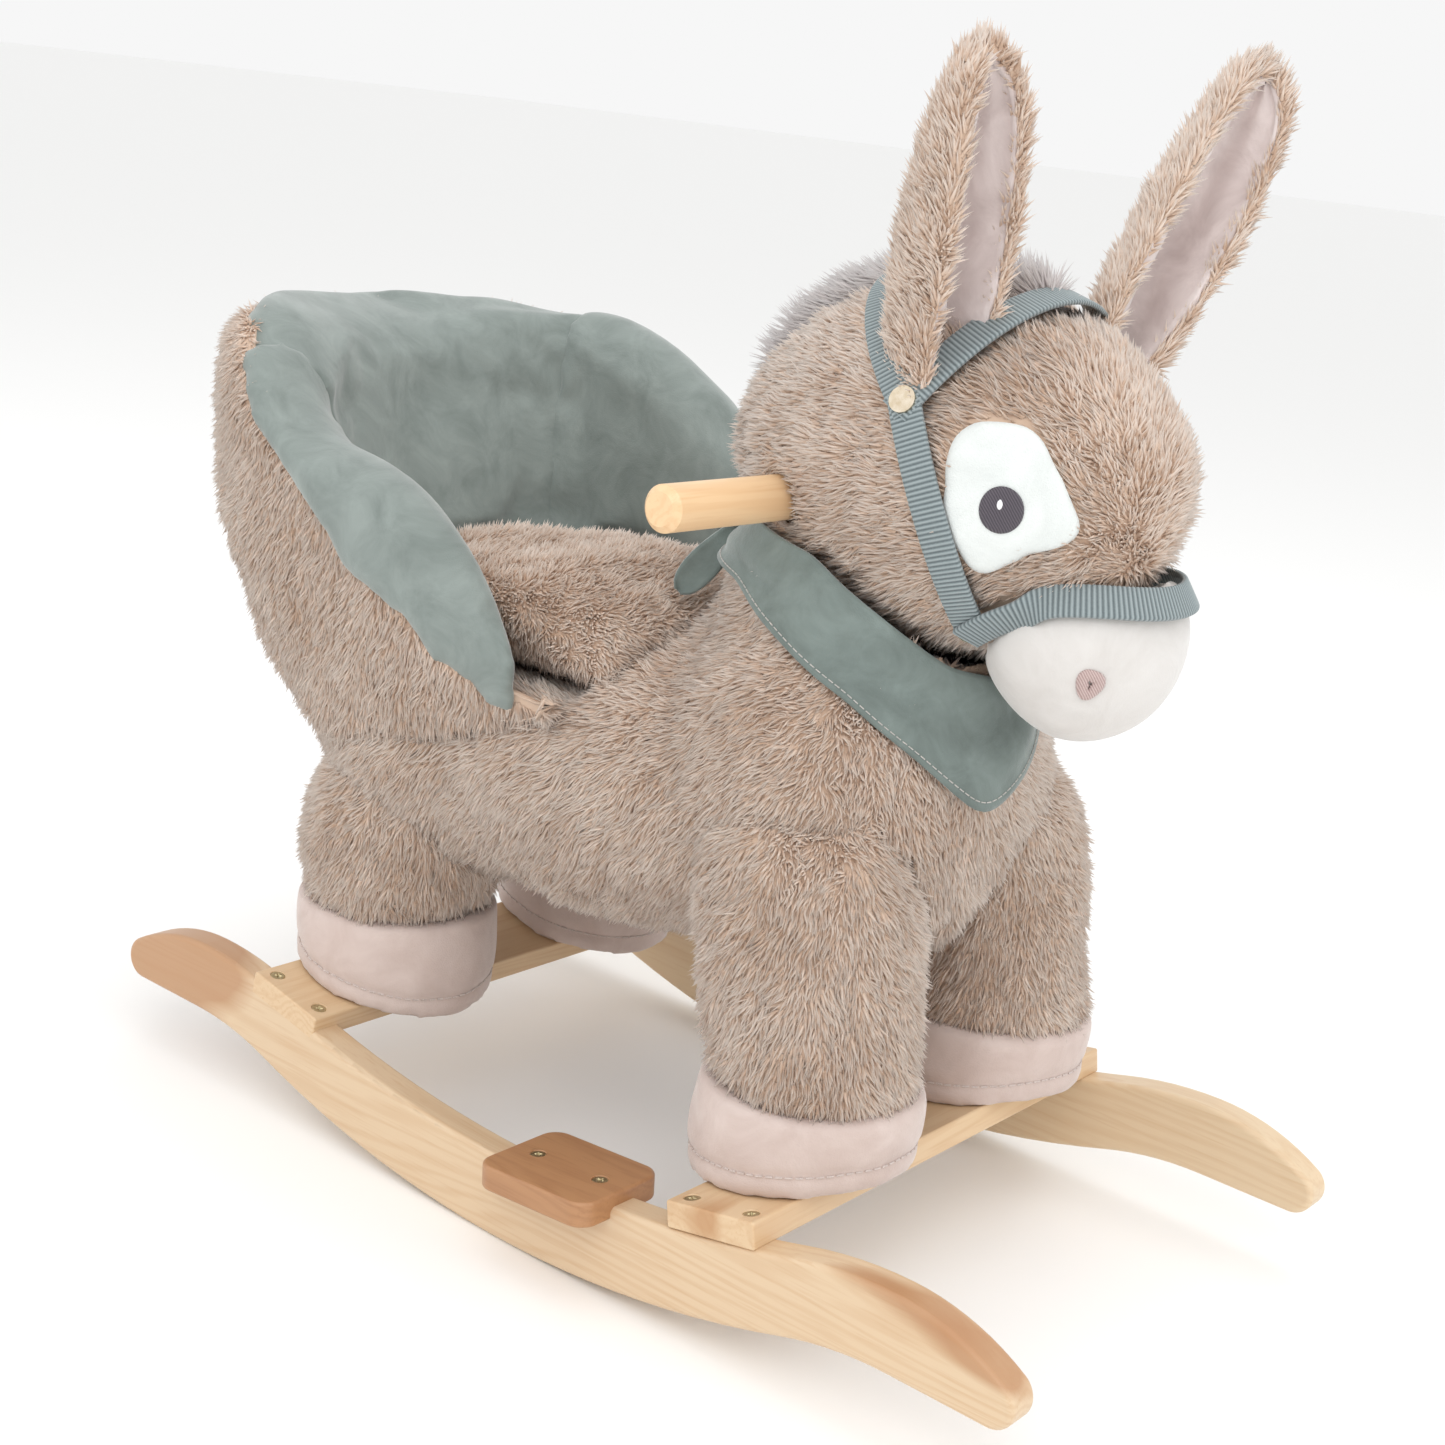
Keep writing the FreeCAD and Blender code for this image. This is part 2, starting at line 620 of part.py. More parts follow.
# A mane of long pile runs from between the ears to the back of the neck.
mane_slab = block("mane_slab", (30, 0, 440), "230", "mane_wide", "150", 0)
mane_strip = common("mane_strip", head_plus("mane_egg", "mane_high"), mane_slab)

# ---------------------------------------------------------------- eyes and nostrils
for side_name, side in SIDES.items():
    spot, normal = on_head(175, 388, side)
    turn = Rotation(Z_AXIS, normal)
    patch_rod = make("Part::Cylinder", f"eye_rod_{side_name}", Radius="eye_radius", Height="40")
    patch_rod.Placement = Placement(spot - normal * 20, turn)
    felt = common(f"eye_felt_{side_name}", head_plus(f"felt_egg_{side_name}", "patch_thick"),
                  patch_rod)
    finished(cut(f"eye_patch_{side_name}_part", felt, head), f"eye_patch_{side_name}")
    pupil_rod = make("Part::Cylinder", f"pupil_rod_{side_name}", Radius="pupil_radius",
                     Height="40")
    pupil_rod.Placement = Placement(spot - normal * 20, turn)
    raised = common(f"pupil_disc_{side_name}",
                    head_plus(f"pupil_egg_{side_name}", "patch_thick + 1"), pupil_rod)
    finished(cut(f"pupil_{side_name}_part", raised,
                 head_plus(f"under_pupil_{side_name}", "patch_thick")), f"pupil_{side_name}")

nostrils = []
for side_name, side in SIDES.items():
    rod = make("Part::Cylinder", f"nostril_rod_{side_name}", Radius="nostril_radius",
               Height="30")
    rod.Placement = Placement(Vector(203, side * 28, 319),
                              Rotation(Z_AXIS, Vector(0.62, side * 0.78, -0.1)))
    disc = common(f"nostril_disc_{side_name}", muzzle_plus(f"nostril_egg_{side_name}", "0.8"),
                  rod)
    nostrils.append(cut(f"nostril_{side_name}", disc, muzzle_egg))
finished(group("nostril_pair", nostrils), "nostrils")

# ----------------------------------------------------------------- webbing bridle
strap_skin = fuse("strap_skin", head_plus("strap_head", "strap_thick"),
                  muzzle_plus("strap_muzzle", "strap_thick"))
UPPER_RIVET = (124, 425)
LOWER_RIVET = (157, 331)


def strap(name, start, end, before, after, *limits):
    """Webbing over the head in the plane through two (x, z) points, square to the middle."""
    run = math.hypot(end[0] - start[0], end[1] - start[1])
    along = Vector((end[0] - start[0]) / run, 0, (end[1] - start[1]) / run)
    low, high = -before, run + after
    middle = Vector(start[0], 0, start[1]) + along * ((low + high) / 2)
    turn = -math.degrees(math.atan2(along.z, along.x))
    slab = block(f"{name}_slab", tuple(middle), str(high - low), "400", "strap_wide", turn)
    return cut(f"{name}_strap", common(f"{name}_band", strap_skin, slab, *limits), head,
               muzzle_egg)


half = at.strap_wide / 2
side_limits = {side_name: block(f"{side_name}_side", (120, side * 102, 380), "400", "200", "400")
               for side_name, side in SIDES.items()}
nose_front = block("nose_front", (352, 0, 350), "400", "400", "300")
noseband = strap("noseband", LOWER_RIVET, (222, 369), half, 30, nose_front)
finished(cut("noseband_part", noseband, body_mass), "bridle_noseband")
cheeks = {}
for side_name in SIDES:
    cheek = strap(f"cheek_{side_name}", UPPER_RIVET, LOWER_RIVET, half, half,
                  side_limits[side_name])
    cheeks[side_name] = cut(f"cheek_{side_name}_part", cheek, noseband)
    finished(cheeks[side_name], f"bridle_cheek_{side_name}")
above = block("above_rivets", (110, 0, 520), "400", "400", "200")
brow = cut("brow_part", strap("brow", UPPER_RIVET, (152, 478), half, 14, above),
           *cheeks.values())
finished(brow, "bridle_browband")
crown = cut("crown_part", strap("crown", UPPER_RIVET, (72, 474), half, 14, above),
            *cheeks.values(), brow)
finished(crown, "bridle_crownband")
finished(cut("mane_part", mane_strip, head, body_mass, brow, crown), "mane")
rivets = []
for spot_name, (x, z) in (("upper", UPPER_RIVET), ("lower", LOWER_RIVET)):
    for side_name, side in SIDES.items():
        spot, normal = on_head(x, z, side)
        rivet = make("Part::Cylinder", f"rivet_{spot_name}_{side_name}", Radius="rivet_radius",
                     Height="rivet_high + strap_thick")
        rivet.Placement = Placement(spot + normal * 0.2, Rotation(Z_AXIS, normal))
        rivets.append(cut(f"rivet_{spot_name}_{side_name}_part", rivet, strap_skin))
finished(group("rivet_set", rivets), "bridle_rivets")

# ------------------------------------------------------------- suede neckerchief
scarf_neck = make("Part::Cone", "scarf_neck", neck_foot, at.neck_lean, Y_AXIS,
                  Radius1="neck_radius * 1.15 + scarf_thick",
                  Radius2="neck_radius * 0.94 + scarf_thick", Height="neck_high")
scarf_chest = egg("scarf_chest", (at.chest_at, 0, at.chest_up), "chest_long + 2 * scarf_thick",
                  "chest_wide + 2 * scarf_thick", "chest_high + 2 * scarf_thick")
scarf_slab = block("scarf_slab", (110, 0, 308), "400", "400", "scarf_wide", at.scarf_slope)
scarf = cut("scarf_part", common("scarf_band", fuse("scarf_skin", scarf_neck, scarf_chest),
                                 scarf_slab), body_mass, head, muzzle_egg, inner_wood)
finished(scarf, "neckerchief")
knot_egg = egg("knot_egg", (-8, -8, 342), "26", "34", "22")
finished(cut("knot_part", knot_egg, body_mass, head, fuse("scarf_skin_copy", scarf_neck,
                                                          scarf_chest)), "neckerchief_knot")

# ------------------------------------------------------------------ check and export
doc.recompute()
os.makedirs("parts", exist_ok=True)
for item in doc.Objects:
    if "Invalid" in item.State or "Error" in item.State:
        raise RuntimeError(f"{item.Name} did not rebuild: {item.State}")
for item in parts:
    if item.Shape.isNull() or not item.Shape.isValid() or not item.Shape.Solids:
        raise RuntimeError(f"{item.Label} has no good solid")
for item in parts:
    item.Shape.exportStep(f"parts/{item.Label}.step")
    box = item.Shape.optimalBoundingBox(True, False)
    print(f"{item.Label:24s} {len(item.Shape.Solids)} solids {item.Shape.Volume / 1000:9.1f} cm3 "
          f"x {box.XMin:.0f}..{box.XMax:.0f} y {box.YMin:.0f}..{box.YMax:.0f} "
          f"z {box.ZMin:.0f}..{box.ZMax:.0f}")
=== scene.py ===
import math

import bmesh
import bpy
import numpy as np
from mathutils import Matrix, Vector, noise
from mathutils.bvhtree import BVHTree


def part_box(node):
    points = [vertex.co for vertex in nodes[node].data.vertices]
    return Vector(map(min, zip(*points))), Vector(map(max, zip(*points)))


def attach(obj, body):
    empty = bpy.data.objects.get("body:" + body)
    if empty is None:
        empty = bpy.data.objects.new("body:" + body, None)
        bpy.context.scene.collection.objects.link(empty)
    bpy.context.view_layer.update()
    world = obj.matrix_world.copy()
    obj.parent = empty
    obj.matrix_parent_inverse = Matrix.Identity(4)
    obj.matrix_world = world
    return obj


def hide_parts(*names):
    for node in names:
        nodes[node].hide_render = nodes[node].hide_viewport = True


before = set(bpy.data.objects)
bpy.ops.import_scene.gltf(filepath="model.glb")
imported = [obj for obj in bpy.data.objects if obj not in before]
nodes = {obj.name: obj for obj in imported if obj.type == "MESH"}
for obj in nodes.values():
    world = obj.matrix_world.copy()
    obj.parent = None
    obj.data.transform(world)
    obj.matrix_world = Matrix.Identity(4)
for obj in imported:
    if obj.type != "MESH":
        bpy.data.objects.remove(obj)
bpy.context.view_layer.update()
MM = 0.001

# ------------------------------------------------------------------ camera, floor and light
# A product studio: a 54 mm lens from the front right, slightly above and slightly rolled,
# a plain white table, and large soft lamps all round, so shadows are faint.
camera_data = bpy.data.cameras.new("studio_camera")
camera_data.lens = 54.16
camera_data.sensor_width = 36
camera_data.clip_start = 0.05
camera_data.clip_end = 200
camera = bpy.data.objects.new("studio_camera", camera_data)
bpy.context.scene.collection.objects.link(camera)
bpy.context.scene.camera = camera
camera_right = (0.7673, 0.6309, 0.1146)
camera_up = (-0.2575, 0.1395, 0.9561)
camera_back = (0.5872, -0.7632, 0.2696)
camera.matrix_world = Matrix.Translation((0.6415, -0.8482, 0.5349)) @ Matrix(
    (camera_right, camera_up, camera_back)).transposed().to_4x4()


def paint(code):
    """The linear colour of a six-figure sRGB colour code."""
    parts = [int(code[i:i + 2], 16) / 255 for i in (0, 2, 4)]
    return [p / 12.92 if p <= 0.04045 else ((p + 0.055) / 1.055) ** 2.4 for p in parts] + [1]


def add(tree, kind, inputs=None, **settings):
    """Adds a node with its settings. Each input is a value, or the output that feeds it."""
    made = tree.nodes.new(kind)
    for name, value in settings.items():
        setattr(made, name, value)
    for key, value in (inputs or {}).items():
        if isinstance(value, bpy.types.NodeSocket):
            tree.links.new(value, made.inputs[key])
        else:
            made.inputs[key].default_value = value
    return made


def finish_material(name, inputs):
    """A material with one Principled shader, whose inputs the caller sets, and its tree."""
    material = bpy.data.materials.new(name)
    material.use_nodes = True
    shader = material.node_tree.nodes["Principled BSDF"]
    for key, value in inputs.items():
        shader.inputs[key].default_value = value
    return material, material.node_tree, shader


def new_piece(name, points, faces):
    """A smooth-shaded mesh piece made from points in millimetres."""
    data = bpy.data.meshes.new(name)
    data.from_pydata((np.asarray(points, float) * MM).tolist(), [], faces)
    data.shade_smooth()
    piece = bpy.data.objects.new(name, data)
    bpy.context.scene.collection.objects.link(piece)
    return piece


paper, tree, shader = finish_material("white_studio_paper", {"Base Color": paint("fafaf9"),
                                                             "Roughness": 0.9})
floor = new_piece("studio_floor", [(-60000, -60000, 0), (60000, -60000, 0),
                                   (60000, 60000, 0), (-60000, 60000, 0)], [(0, 1, 2, 3)])
floor.data.materials.append(paper)

lamps = {
    "key_softbox": ((0.9, -1.6, 1.9), 1.6, 15),
    "front_softbox": ((2.0, 0.1, 1.1), 1.6, 7),
    "left_softbox": ((-1.6, -1.5, 1.3), 1.8, 6),
    "top_softbox": ((-0.1, 0.2, 2.3), 1.8, 10),
}
for lamp_name, (place, size, power) in lamps.items():
    lamp_data = bpy.data.lights.new(lamp_name, "AREA")
    lamp_data.size = size
    lamp_data.energy = power
    lamp = bpy.data.objects.new(lamp_name, lamp_data)
    bpy.context.scene.collection.objects.link(lamp)
    lamp.location = place
    lamp.rotation_euler = (Vector((0, 0, 0.28)) - Vector(place)).to_track_quat("-Z", "Y").to_euler()
world = bpy.data.worlds.new("studio_air")
bpy.context.scene.world = world
world.use_nodes = True
world.node_tree.nodes["Background"].inputs["Color"].default_value = paint("ffffff")
world.node_tree.nodes["Background"].inputs["Strength"].default_value = 0.93
bpy.context.scene.view_settings.view_transform = "Standard"


# ---------------------------------------------------------------------- rockers and slats
# Two band-sawn rocker boards and two cross slats of pale softwood, sanded, edges rounded and
# left under a clear satin lacquer. The boards' ends run into darker heartwood.
def wood(name, sap, line, heart, along, heart_ends, gloss=0.42):
    """Sawn, lacquered wood. along is the grain's direction, heart_ends the places of heartwood."""
    material, tree, shader = finish_material(name, {"Roughness": gloss, "Coat Weight": 0.12,
                                                    "Coat Roughness": 0.3})
    place = add(tree, "ShaderNodeTexCoord").outputs["Object"]
    # Growth rings show every 3 to 6 mm across the board and run ten times as far along it.
    stretch = [1.0 if axis == along else 11.0 for axis in "xyz"]
    board = add(tree, "ShaderNodeMapping", {"Vector": place, "Scale": stretch})
    wander = add(tree, "ShaderNodeTexNoise", {"Vector": board.outputs[0], "Scale": 2.2,
                                              "Detail": 2.0})
    moved = add(tree, "ShaderNodeVectorMath", {0: board.outputs[0], 1: wander.outputs["Color"]})
    rings = add(tree, "ShaderNodeTexWave", {"Vector": moved.outputs[0], "Scale": 3.4,
                                            "Distortion": 5.0, "Detail": 2.0,
                                            "Detail Scale": 1.4},
                bands_direction="Z" if along != "z" else "X")
    pores = add(tree, "ShaderNodeMapping",
                {"Vector": place, "Scale": [24 if axis == along else 620 for axis in "xyz"]})
    pore = add(tree, "ShaderNodeTexNoise", {"Vector": pores.outputs[0], "Scale": 1.0,
                                            "Detail": 3.0})
    ring_ramp = add(tree, "ShaderNodeMapRange", {"Value": rings.outputs["Fac"], "From Min": 0.35,
                                                 "From Max": 1.0, "To Max": 0.28})
    pore_ramp = add(tree, "ShaderNodeMapRange", {"Value": pore.outputs["Fac"], "From Min": 0.52,
                                                 "From Max": 0.75, "To Max": 0.4})
    lines = add(tree, "ShaderNodeMix", {"Factor": ring_ramp.outputs[0], 6: paint(sap),
                                        7: paint(line)}, data_type="RGBA")
    dotted = add(tree, "ShaderNodeMix", {"Factor": pore_ramp.outputs[0], 6: lines.outputs[2],
                                         7: paint(line)}, data_type="RGBA")
    colour = dotted.outputs[2]
    for spot, radius in heart_ends:
        away = add(tree, "ShaderNodeVectorMath", {0: place, 1: [s * MM for s in spot]},
                   operation="SUBTRACT")
        squeezed = add(tree, "ShaderNodeVectorMath",
                       {0: away.outputs[0], 1: [0.45 if axis == along else 1 for axis in "xyz"]},
                       operation="MULTIPLY")
        reach = add(tree, "ShaderNodeVectorMath", {0: squeezed.outputs[0]}, operation="LENGTH")
        ragged = add(tree, "ShaderNodeMath", {0: wander.outputs["Fac"], 1: 0.05, 2:
                                              reach.outputs["Value"]}, operation="MULTIPLY_ADD")
        inside = add(tree, "ShaderNodeMapRange",
                     {"Value": ragged.outputs[0], "From Min": (radius + 28) * MM,
                      "From Max": (radius - 8 + 28) * MM, "To Max": 0.8})
        heart_mix = add(tree, "ShaderNodeMix", {"Factor": inside.outputs[0], 6: colour,
                                                7: paint(heart)}, data_type="RGBA")
        colour = heart_mix.outputs[2]
    tree.links.new(colour, shader.inputs["Base Color"])
    bump = add(tree, "ShaderNodeBump", {"Height": pore.outputs["Fac"], "Strength": 0.12,
                                        "Distance": 0.0004})
    tree.links.new(bump.outputs[0], shader.inputs["Normal"])
    return material


def give(node_name, material):
    """The CAD node's finish."""
    slots = nodes[node_name].data.materials
    slots.clear()
    slots.append(material)


pine_rocker = wood("lacquered_pine_board", "d9bf9e", "c49c72", "b3835b", "x",
                   [((-262, -141, 62), 34), ((215, -141, 80), 12), ((250, -141, 76), 15),
                    ((282, -141, 66), 18)])
pine_rocker_left = wood("lacquered_pine_board_left", "dcc4a3", "cba77e", "bb9168", "x",
                        [((-270, 141, 60), 20)])
pine_slat = wood("lacquered_pine_slat", "dabd98", "c69d72", "b98a5e", "y", [((129, -150, 66), 12)])
heart_block = wood("lacquered_heartwood_block", "b3845c", "976744", "9c6c46", "x", [])
beech = wood("turned_beech", "eac79c", "d9ab7b", "c99763", "y", [])
birch_board = wood("birch_plywood", "dcc39a", "c3a274", "b08d60", "x", [])
give("rocker_right", pine_rocker)
give("rocker_left", pine_rocker_left)
for name in ("front_cross_slat", "rear_cross_slat"):
    give(name, pine_slat)

# ------------------------------------------------------------- foot rests, screws and inner wood
# A small block of brown heartwood is screwed on each rocker for a foot. The slats, posts and
# seat board hold together with zinc-plated countersunk screws, and a beech dowel is the handle.
for name in ("footrest_right", "footrest_left"):
    give(name, heart_block)
for name in ("front_leg_post_right", "front_leg_post_left", "rear_leg_post_right",
             "rear_leg_post_left", "neck_post"):
    give(name, pine_slat)
for name in ("seat_board", "back_board"):
    give(name, birch_board)
give("handle_bar", beech)

# Zinc with a yellow pass: a dull warm metal with fine rolling marks about 0.3 mm apart.
zinc, tree, shader = finish_material("yellow_zinc_plated_steel", {
    "Base Color": paint("c9b98f"), "Metallic": 1.0, "Roughness": 0.38})
place = add(tree, "ShaderNodeTexCoord").outputs["Object"]
marks = add(tree, "ShaderNodeTexNoise", {"Vector": place, "Scale": 900.0, "Detail": 2.0})
tone = add(tree, "ShaderNodeMix", {"Factor": marks.outputs["Fac"], 6: paint("a8966a"),
                                   7: paint("d8cba6")}, data_type="RGBA")
tree.links.new(tone.outputs[2], shader.inputs["Base Color"])
for name in ("leg_post_screws", "seat_board_screws"):
    give(name, zinc)

# The screws that show: a countersunk head with a cross recess, set just under the wood.
HEAD_RADIUS = 3.9
SUNK = 0.35
head_points, head_faces = [], []
head_profile = [(0.05, 0), (0.5, 0), (0.9, 0), (1.3, 0), (1.7, 0), (2.1, 0), (2.6, 0), (3.4, 0),
                (HEAD_RADIUS, -0.15), (2.2, -3.2), (2.0, -12), (0.05, -12)]
STEPS = 40
for radius, drop in head_profile:
    for step in range(STEPS):
        angle = math.tau * step / STEPS
        x, y = radius * math.cos(angle), radius * math.sin(angle)
        in_cross = min(abs(x), abs(y)) < 0.45 and max(abs(x), abs(y)) < 1.8 and drop == 0
        head_points.append((x, y, drop - (1.3 if in_cross else 0.0)))
for row in range(len(head_profile) - 1):
    for step in range(STEPS):
        after = (step + 1) % STEPS
        head_faces.append((row * STEPS + step, (row + 1) * STEPS + step,
                           (row + 1) * STEPS + after, row * STEPS + after))
head_faces.append(tuple(range(STEPS)))
head_faces.append(tuple(range((len(head_profile) - 1) * STEPS, len(head_profile) * STEPS))[::-1])
screw_form = new_piece("screw_form", head_points, head_faces)


def new_tree(name, inputs):
    """An empty Geometry Nodes tree with these inputs, and the inputs' identifiers by label."""
    tree = bpy.data.node_groups.new(name, "GeometryNodeTree")
    identifiers = {}
    for label, (kind, value) in inputs.items():
        socket = tree.interface.new_socket(name=label, in_out="INPUT",
                                           socket_type=f"NodeSocket{kind}")
        if value is not None:
            socket.default_value = value
        identifiers[label] = socket.identifier
    tree.interface.new_socket(name="Result", in_out="OUTPUT", socket_type="NodeSocketGeometry")
    return tree, identifiers


def settle(piece):
    """Turns a piece and its modifiers into a plain mesh."""
    graph = bpy.context.evaluated_depsgraph_get()
    made = bpy.data.meshes.new_from_object(piece.evaluated_get(graph),
                                           preserve_all_data_layers=True, depsgraph=graph)
    piece.modifiers.clear()
    piece.data = made
    made.name = piece.name


def work(piece, tree, identifiers, values):
    """Runs a tree on a piece, with values for some of its inputs, and keeps the plain mesh."""
    made_by = piece.modifiers.new("made_by", "NODES")
    made_by.node_group = tree
    for label, value in values.items():
        made_by[identifiers[label]] = value
    settle(piece)


def ride(piece, stands_for=()):
    """Rides the piece on the one body and hides the CAD parts it stands for."""
    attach(piece, "root")
    if stands_for:
        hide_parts(*stands_for)


fixings, fixing_inputs = new_tree("wood_screws", {
    "Places": ("Geometry", None), "Screw": ("Object", None), "Turned by": ("Float", None),
    "Seed": ("Int", None), "Metal": ("Material", None)})
given = add(fixings, "NodeGroupInput").outputs
shape = add(fixings, "GeometryNodeObjectInfo", {"Object": given["Screw"]})
facing = add(fixings, "GeometryNodeInputNamedAttribute", {"Name": "facing"},
             data_type="FLOAT_VECTOR")
upright = add(fixings, "FunctionNodeAlignRotationToVector", {"Vector": facing.outputs[0]},
              axis="Z")
driven = add(fixings, "FunctionNodeRandomValue", {2: 0.0, 3: given["Turned by"],
                                                  8: given["Seed"]}, data_type="FLOAT")
spin = add(fixings, "ShaderNodeCombineXYZ", {2: driven.outputs[1]})
spun = add(fixings, "FunctionNodeRotateRotation", {0: upright.outputs[0], 1: spin.outputs[0]},
           rotation_space="LOCAL")
set_in = add(fixings, "GeometryNodeInstanceOnPoints",
             {"Points": given["Places"], "Instance": shape.outputs["Geometry"],
              "Rotation": spun.outputs[0]})
real = add(fixings, "GeometryNodeRealizeInstances", {0: set_in.outputs[0]})
plated = add(fixings, "GeometryNodeSetMaterial", {"Geometry": real.outputs[0],
                                                  "Material": given["Metal"]})
add(fixings, "NodeGroupOutput", {0: plated.outputs[0]})


def fix_with_screws(name, node_name, centres, pitch_x, tilts, seed):
    """Screws in pairs along x about each centre, square to boards tilted by these degrees."""
    places, facings = [], []
    for (x, y, z), tilt in zip(centres, tilts):
        slope = math.radians(tilt)
        normal = np.array([-math.sin(slope), 0, math.cos(slope)])
        for along in (-0.5, 0.5):
            run = np.array([math.cos(slope), 0, math.sin(slope)]) * along * pitch_x
            places.append(np.array([x, y, z]) + run - normal * SUNK)
            facings.append(normal)
    piece = new_piece(name, places, [])
    piece.data.attributes.new("facing", "FLOAT_VECTOR", "POINT").data.foreach_set(
        "vector", np.array(facings).ravel())
    work(piece, fixings, fixing_inputs, {"Screw": screw_form, "Turned by": 1.5, "Seed": seed,
                                         "Metal": zinc})
    ride(piece, [node_name])


ROCKER_LINE = 141       # the middle of a rocker board, from the middle plane
SLAT_TOP = 69.3
SLATS = {"front": (129, 11.2), "rear": (-159, -11.2)}       # middle, and tilt in degrees
SLAT_PITCH = 34
REST_MIDDLE, REST_TOP, REST_TILT, REST_PITCH = 38, 50.5, 4.6, 40
fix_with_screws("slat_fixing_screws", "slat_screws",
                [(x, y, SLAT_TOP) for x, _ in SLATS.values() for y in (-ROCKER_LINE, ROCKER_LINE)],
                SLAT_PITCH, [tilt for _, tilt in SLATS.values() for _ in (-1, 1)], 2)
fix_with_screws("footrest_fixing_screws", "footrest_screws",
                [(REST_MIDDLE, y, REST_TOP) for y in (-ROCKER_LINE, ROCKER_LINE)], REST_PITCH,
                [REST_TILT, REST_TILT], 5)
bpy.data.objects.remove(screw_form)


# --------------------------------------------------------------------------- plush and body
# The body is sewn from long-pile polyester plush and filled with loose fibre. The pile is about
# 7 mm long, matted into soft tufts that lie down and back, so its skin sits inside the CAD form.
def read(piece):
    """The points and their normals, in metres."""
    count = len(piece.data.vertices)
    points = np.empty(count * 3)
    normals = np.empty(count * 3)
    piece.data.vertices.foreach_get("co", points)
    piece.data.vertex_normals.foreach_get("vector", normals)
    return points.reshape(-1, 3), normals.reshape(-1, 3)


def write(piece, points):
    piece.data.vertices.foreach_set("co", points.ravel())
    piece.data.update()


def lumps(points, size, depth, seed=0.0):
    """Uneven filling: a smooth random height for each point, in metres."""
    return np.array([noise.noise(Vector(p) / size + Vector((seed, 0, 0))) for p in points]) * depth


def creased(points, line, width, depth):
    """How far a sewn line, given in millimetres, pulls each point in."""
    pull = np.zeros(len(points))
    path = np.asarray(line, float) * MM
    for start, end in zip(path, path[1:]):
        run = end - start
        share = np.clip((points - start) @ run / (run @ run), 0, 1)
        away = np.linalg.norm(points - start - share[:, None] * run, axis=1)
        pull = np.maximum(pull, np.exp(-(away / width) ** 2))
    return pull * depth


def skin_of(name, source, inset, cell=0.004, evening=8):
    """One clean closed skin over a CAD solid, moved in by the depth of its pile."""
    form = bmesh.new()
    form.from_mesh(nodes[source].data)
    bmesh.ops.remove_doubles(form, verts=form.verts, dist=1e-5)
    data = bpy.data.meshes.new(name)
    form.to_mesh(data)
    form.free()
    piece = bpy.data.objects.new(name, data)
    bpy.context.scene.collection.objects.link(piece)
    remesh = piece.modifiers.new("weave", "REMESH")
    remesh.mode = "VOXEL"
    remesh.voxel_size = cell
    relax = piece.modifiers.new("relax", "SMOOTH")
    relax.factor = 0.5
    relax.iterations = evening
    settle(piece)
    piece.data.shade_smooth()
    points, normals = read(piece)
    write(piece, points - normals * inset)
    return piece


def comb(piece, flow, bare=None):
    """Stores which way the pile lies, as unit vectors along the skin, and how much grows."""
    points, normals = read(piece)
    lay = flow(points)
    lay = lay - normals * np.sum(lay * normals, axis=1)[:, None]
    lay /= np.linalg.norm(lay, axis=1)[:, None] + 1e-9
    piece.data.attributes.new("nap", "FLOAT_VECTOR", "POINT").data.foreach_set("vector",
                                                                               lay.ravel())
    grown = np.ones(len(points)) if bare is None else 1 - np.clip(bare(points), 0, 1)
    piece.data.attributes.new("pile", "FLOAT", "POINT").data.foreach_set("value", grown)


# Each tuft of the pile is a thin three-sided spike. They are scattered over the skin, lie along
# the nap, lean together in clumps 12 to 25 mm wide, and differ in length.
pile, pile_inputs = new_tree("plush_pile", {
    "Skin": ("Geometry", None), "Tufts per square metre": ("Float", 460000.0),
    "Tuft length": ("Float", 0.0074), "Tuft radius": ("Float", 0.00088),
    "Lift": ("Float", 0.75), "Clumping": ("Float", 2.3), "Seed": ("Int", 3),
    "Plush": ("Material", None)})
given = add(pile, "NodeGroupInput").outputs
grows = add(pile, "GeometryNodeInputNamedAttribute", {"Name": "pile"}, data_type="FLOAT")
dense = add(pile, "ShaderNodeMath", {0: grows.outputs[0], 1: given["Tufts per square metre"]},
            operation="MULTIPLY")
roots = add(pile, "GeometryNodeDistributePointsOnFaces",
            {"Mesh": given["Skin"], "Density": dense.outputs[0], "Seed": given["Seed"]})
nap = add(pile, "GeometryNodeInputNamedAttribute", {"Name": "nap"}, data_type="FLOAT_VECTOR")
stand = add(pile, "ShaderNodeVectorMath", {0: roots.outputs["Normal"], "Scale": given["Lift"]},
            operation="SCALE")
lying = add(pile, "ShaderNodeVectorMath", {0: stand.outputs[0], 1: nap.outputs[0]})
position = add(pile, "GeometryNodeInputPosition")
wave = add(pile, "ShaderNodeTexNoise", {"Vector": position.outputs[0], "Scale": 95.0,
                                        "Detail": 1.0})
centred = add(pile, "ShaderNodeVectorMath", {0: wave.outputs["Color"], 1: (0.5, 0.5, 0.5)},
              operation="SUBTRACT")
clump = add(pile, "ShaderNodeVectorMath", {0: centred.outputs[0], "Scale": given["Clumping"]},
            operation="SCALE")
clumped = add(pile, "ShaderNodeVectorMath", {0: lying.outputs[0], 1: clump.outputs[0]})
stray = add(pile, "FunctionNodeRandomValue", {0: (-0.32, -0.32, -0.32),
                                                  1: (0.32, 0.32, 0.32), 8: 5},
            data_type="FLOAT_VECTOR")
aimed = add(pile, "ShaderNodeVectorMath", {0: clumped.outputs[0], 1: stray.outputs[0]})
turn = add(pile, "FunctionNodeAlignRotationToVector", {"Vector": aimed.outputs[0]}, axis="Z")
spike = add(pile, "GeometryNodeMeshCone",
            {"Vertices": 3, "Radius Top": 0.0, "Radius Bottom": given["Tuft radius"],
             "Depth": given["Tuft length"]}, fill_type="NONE")
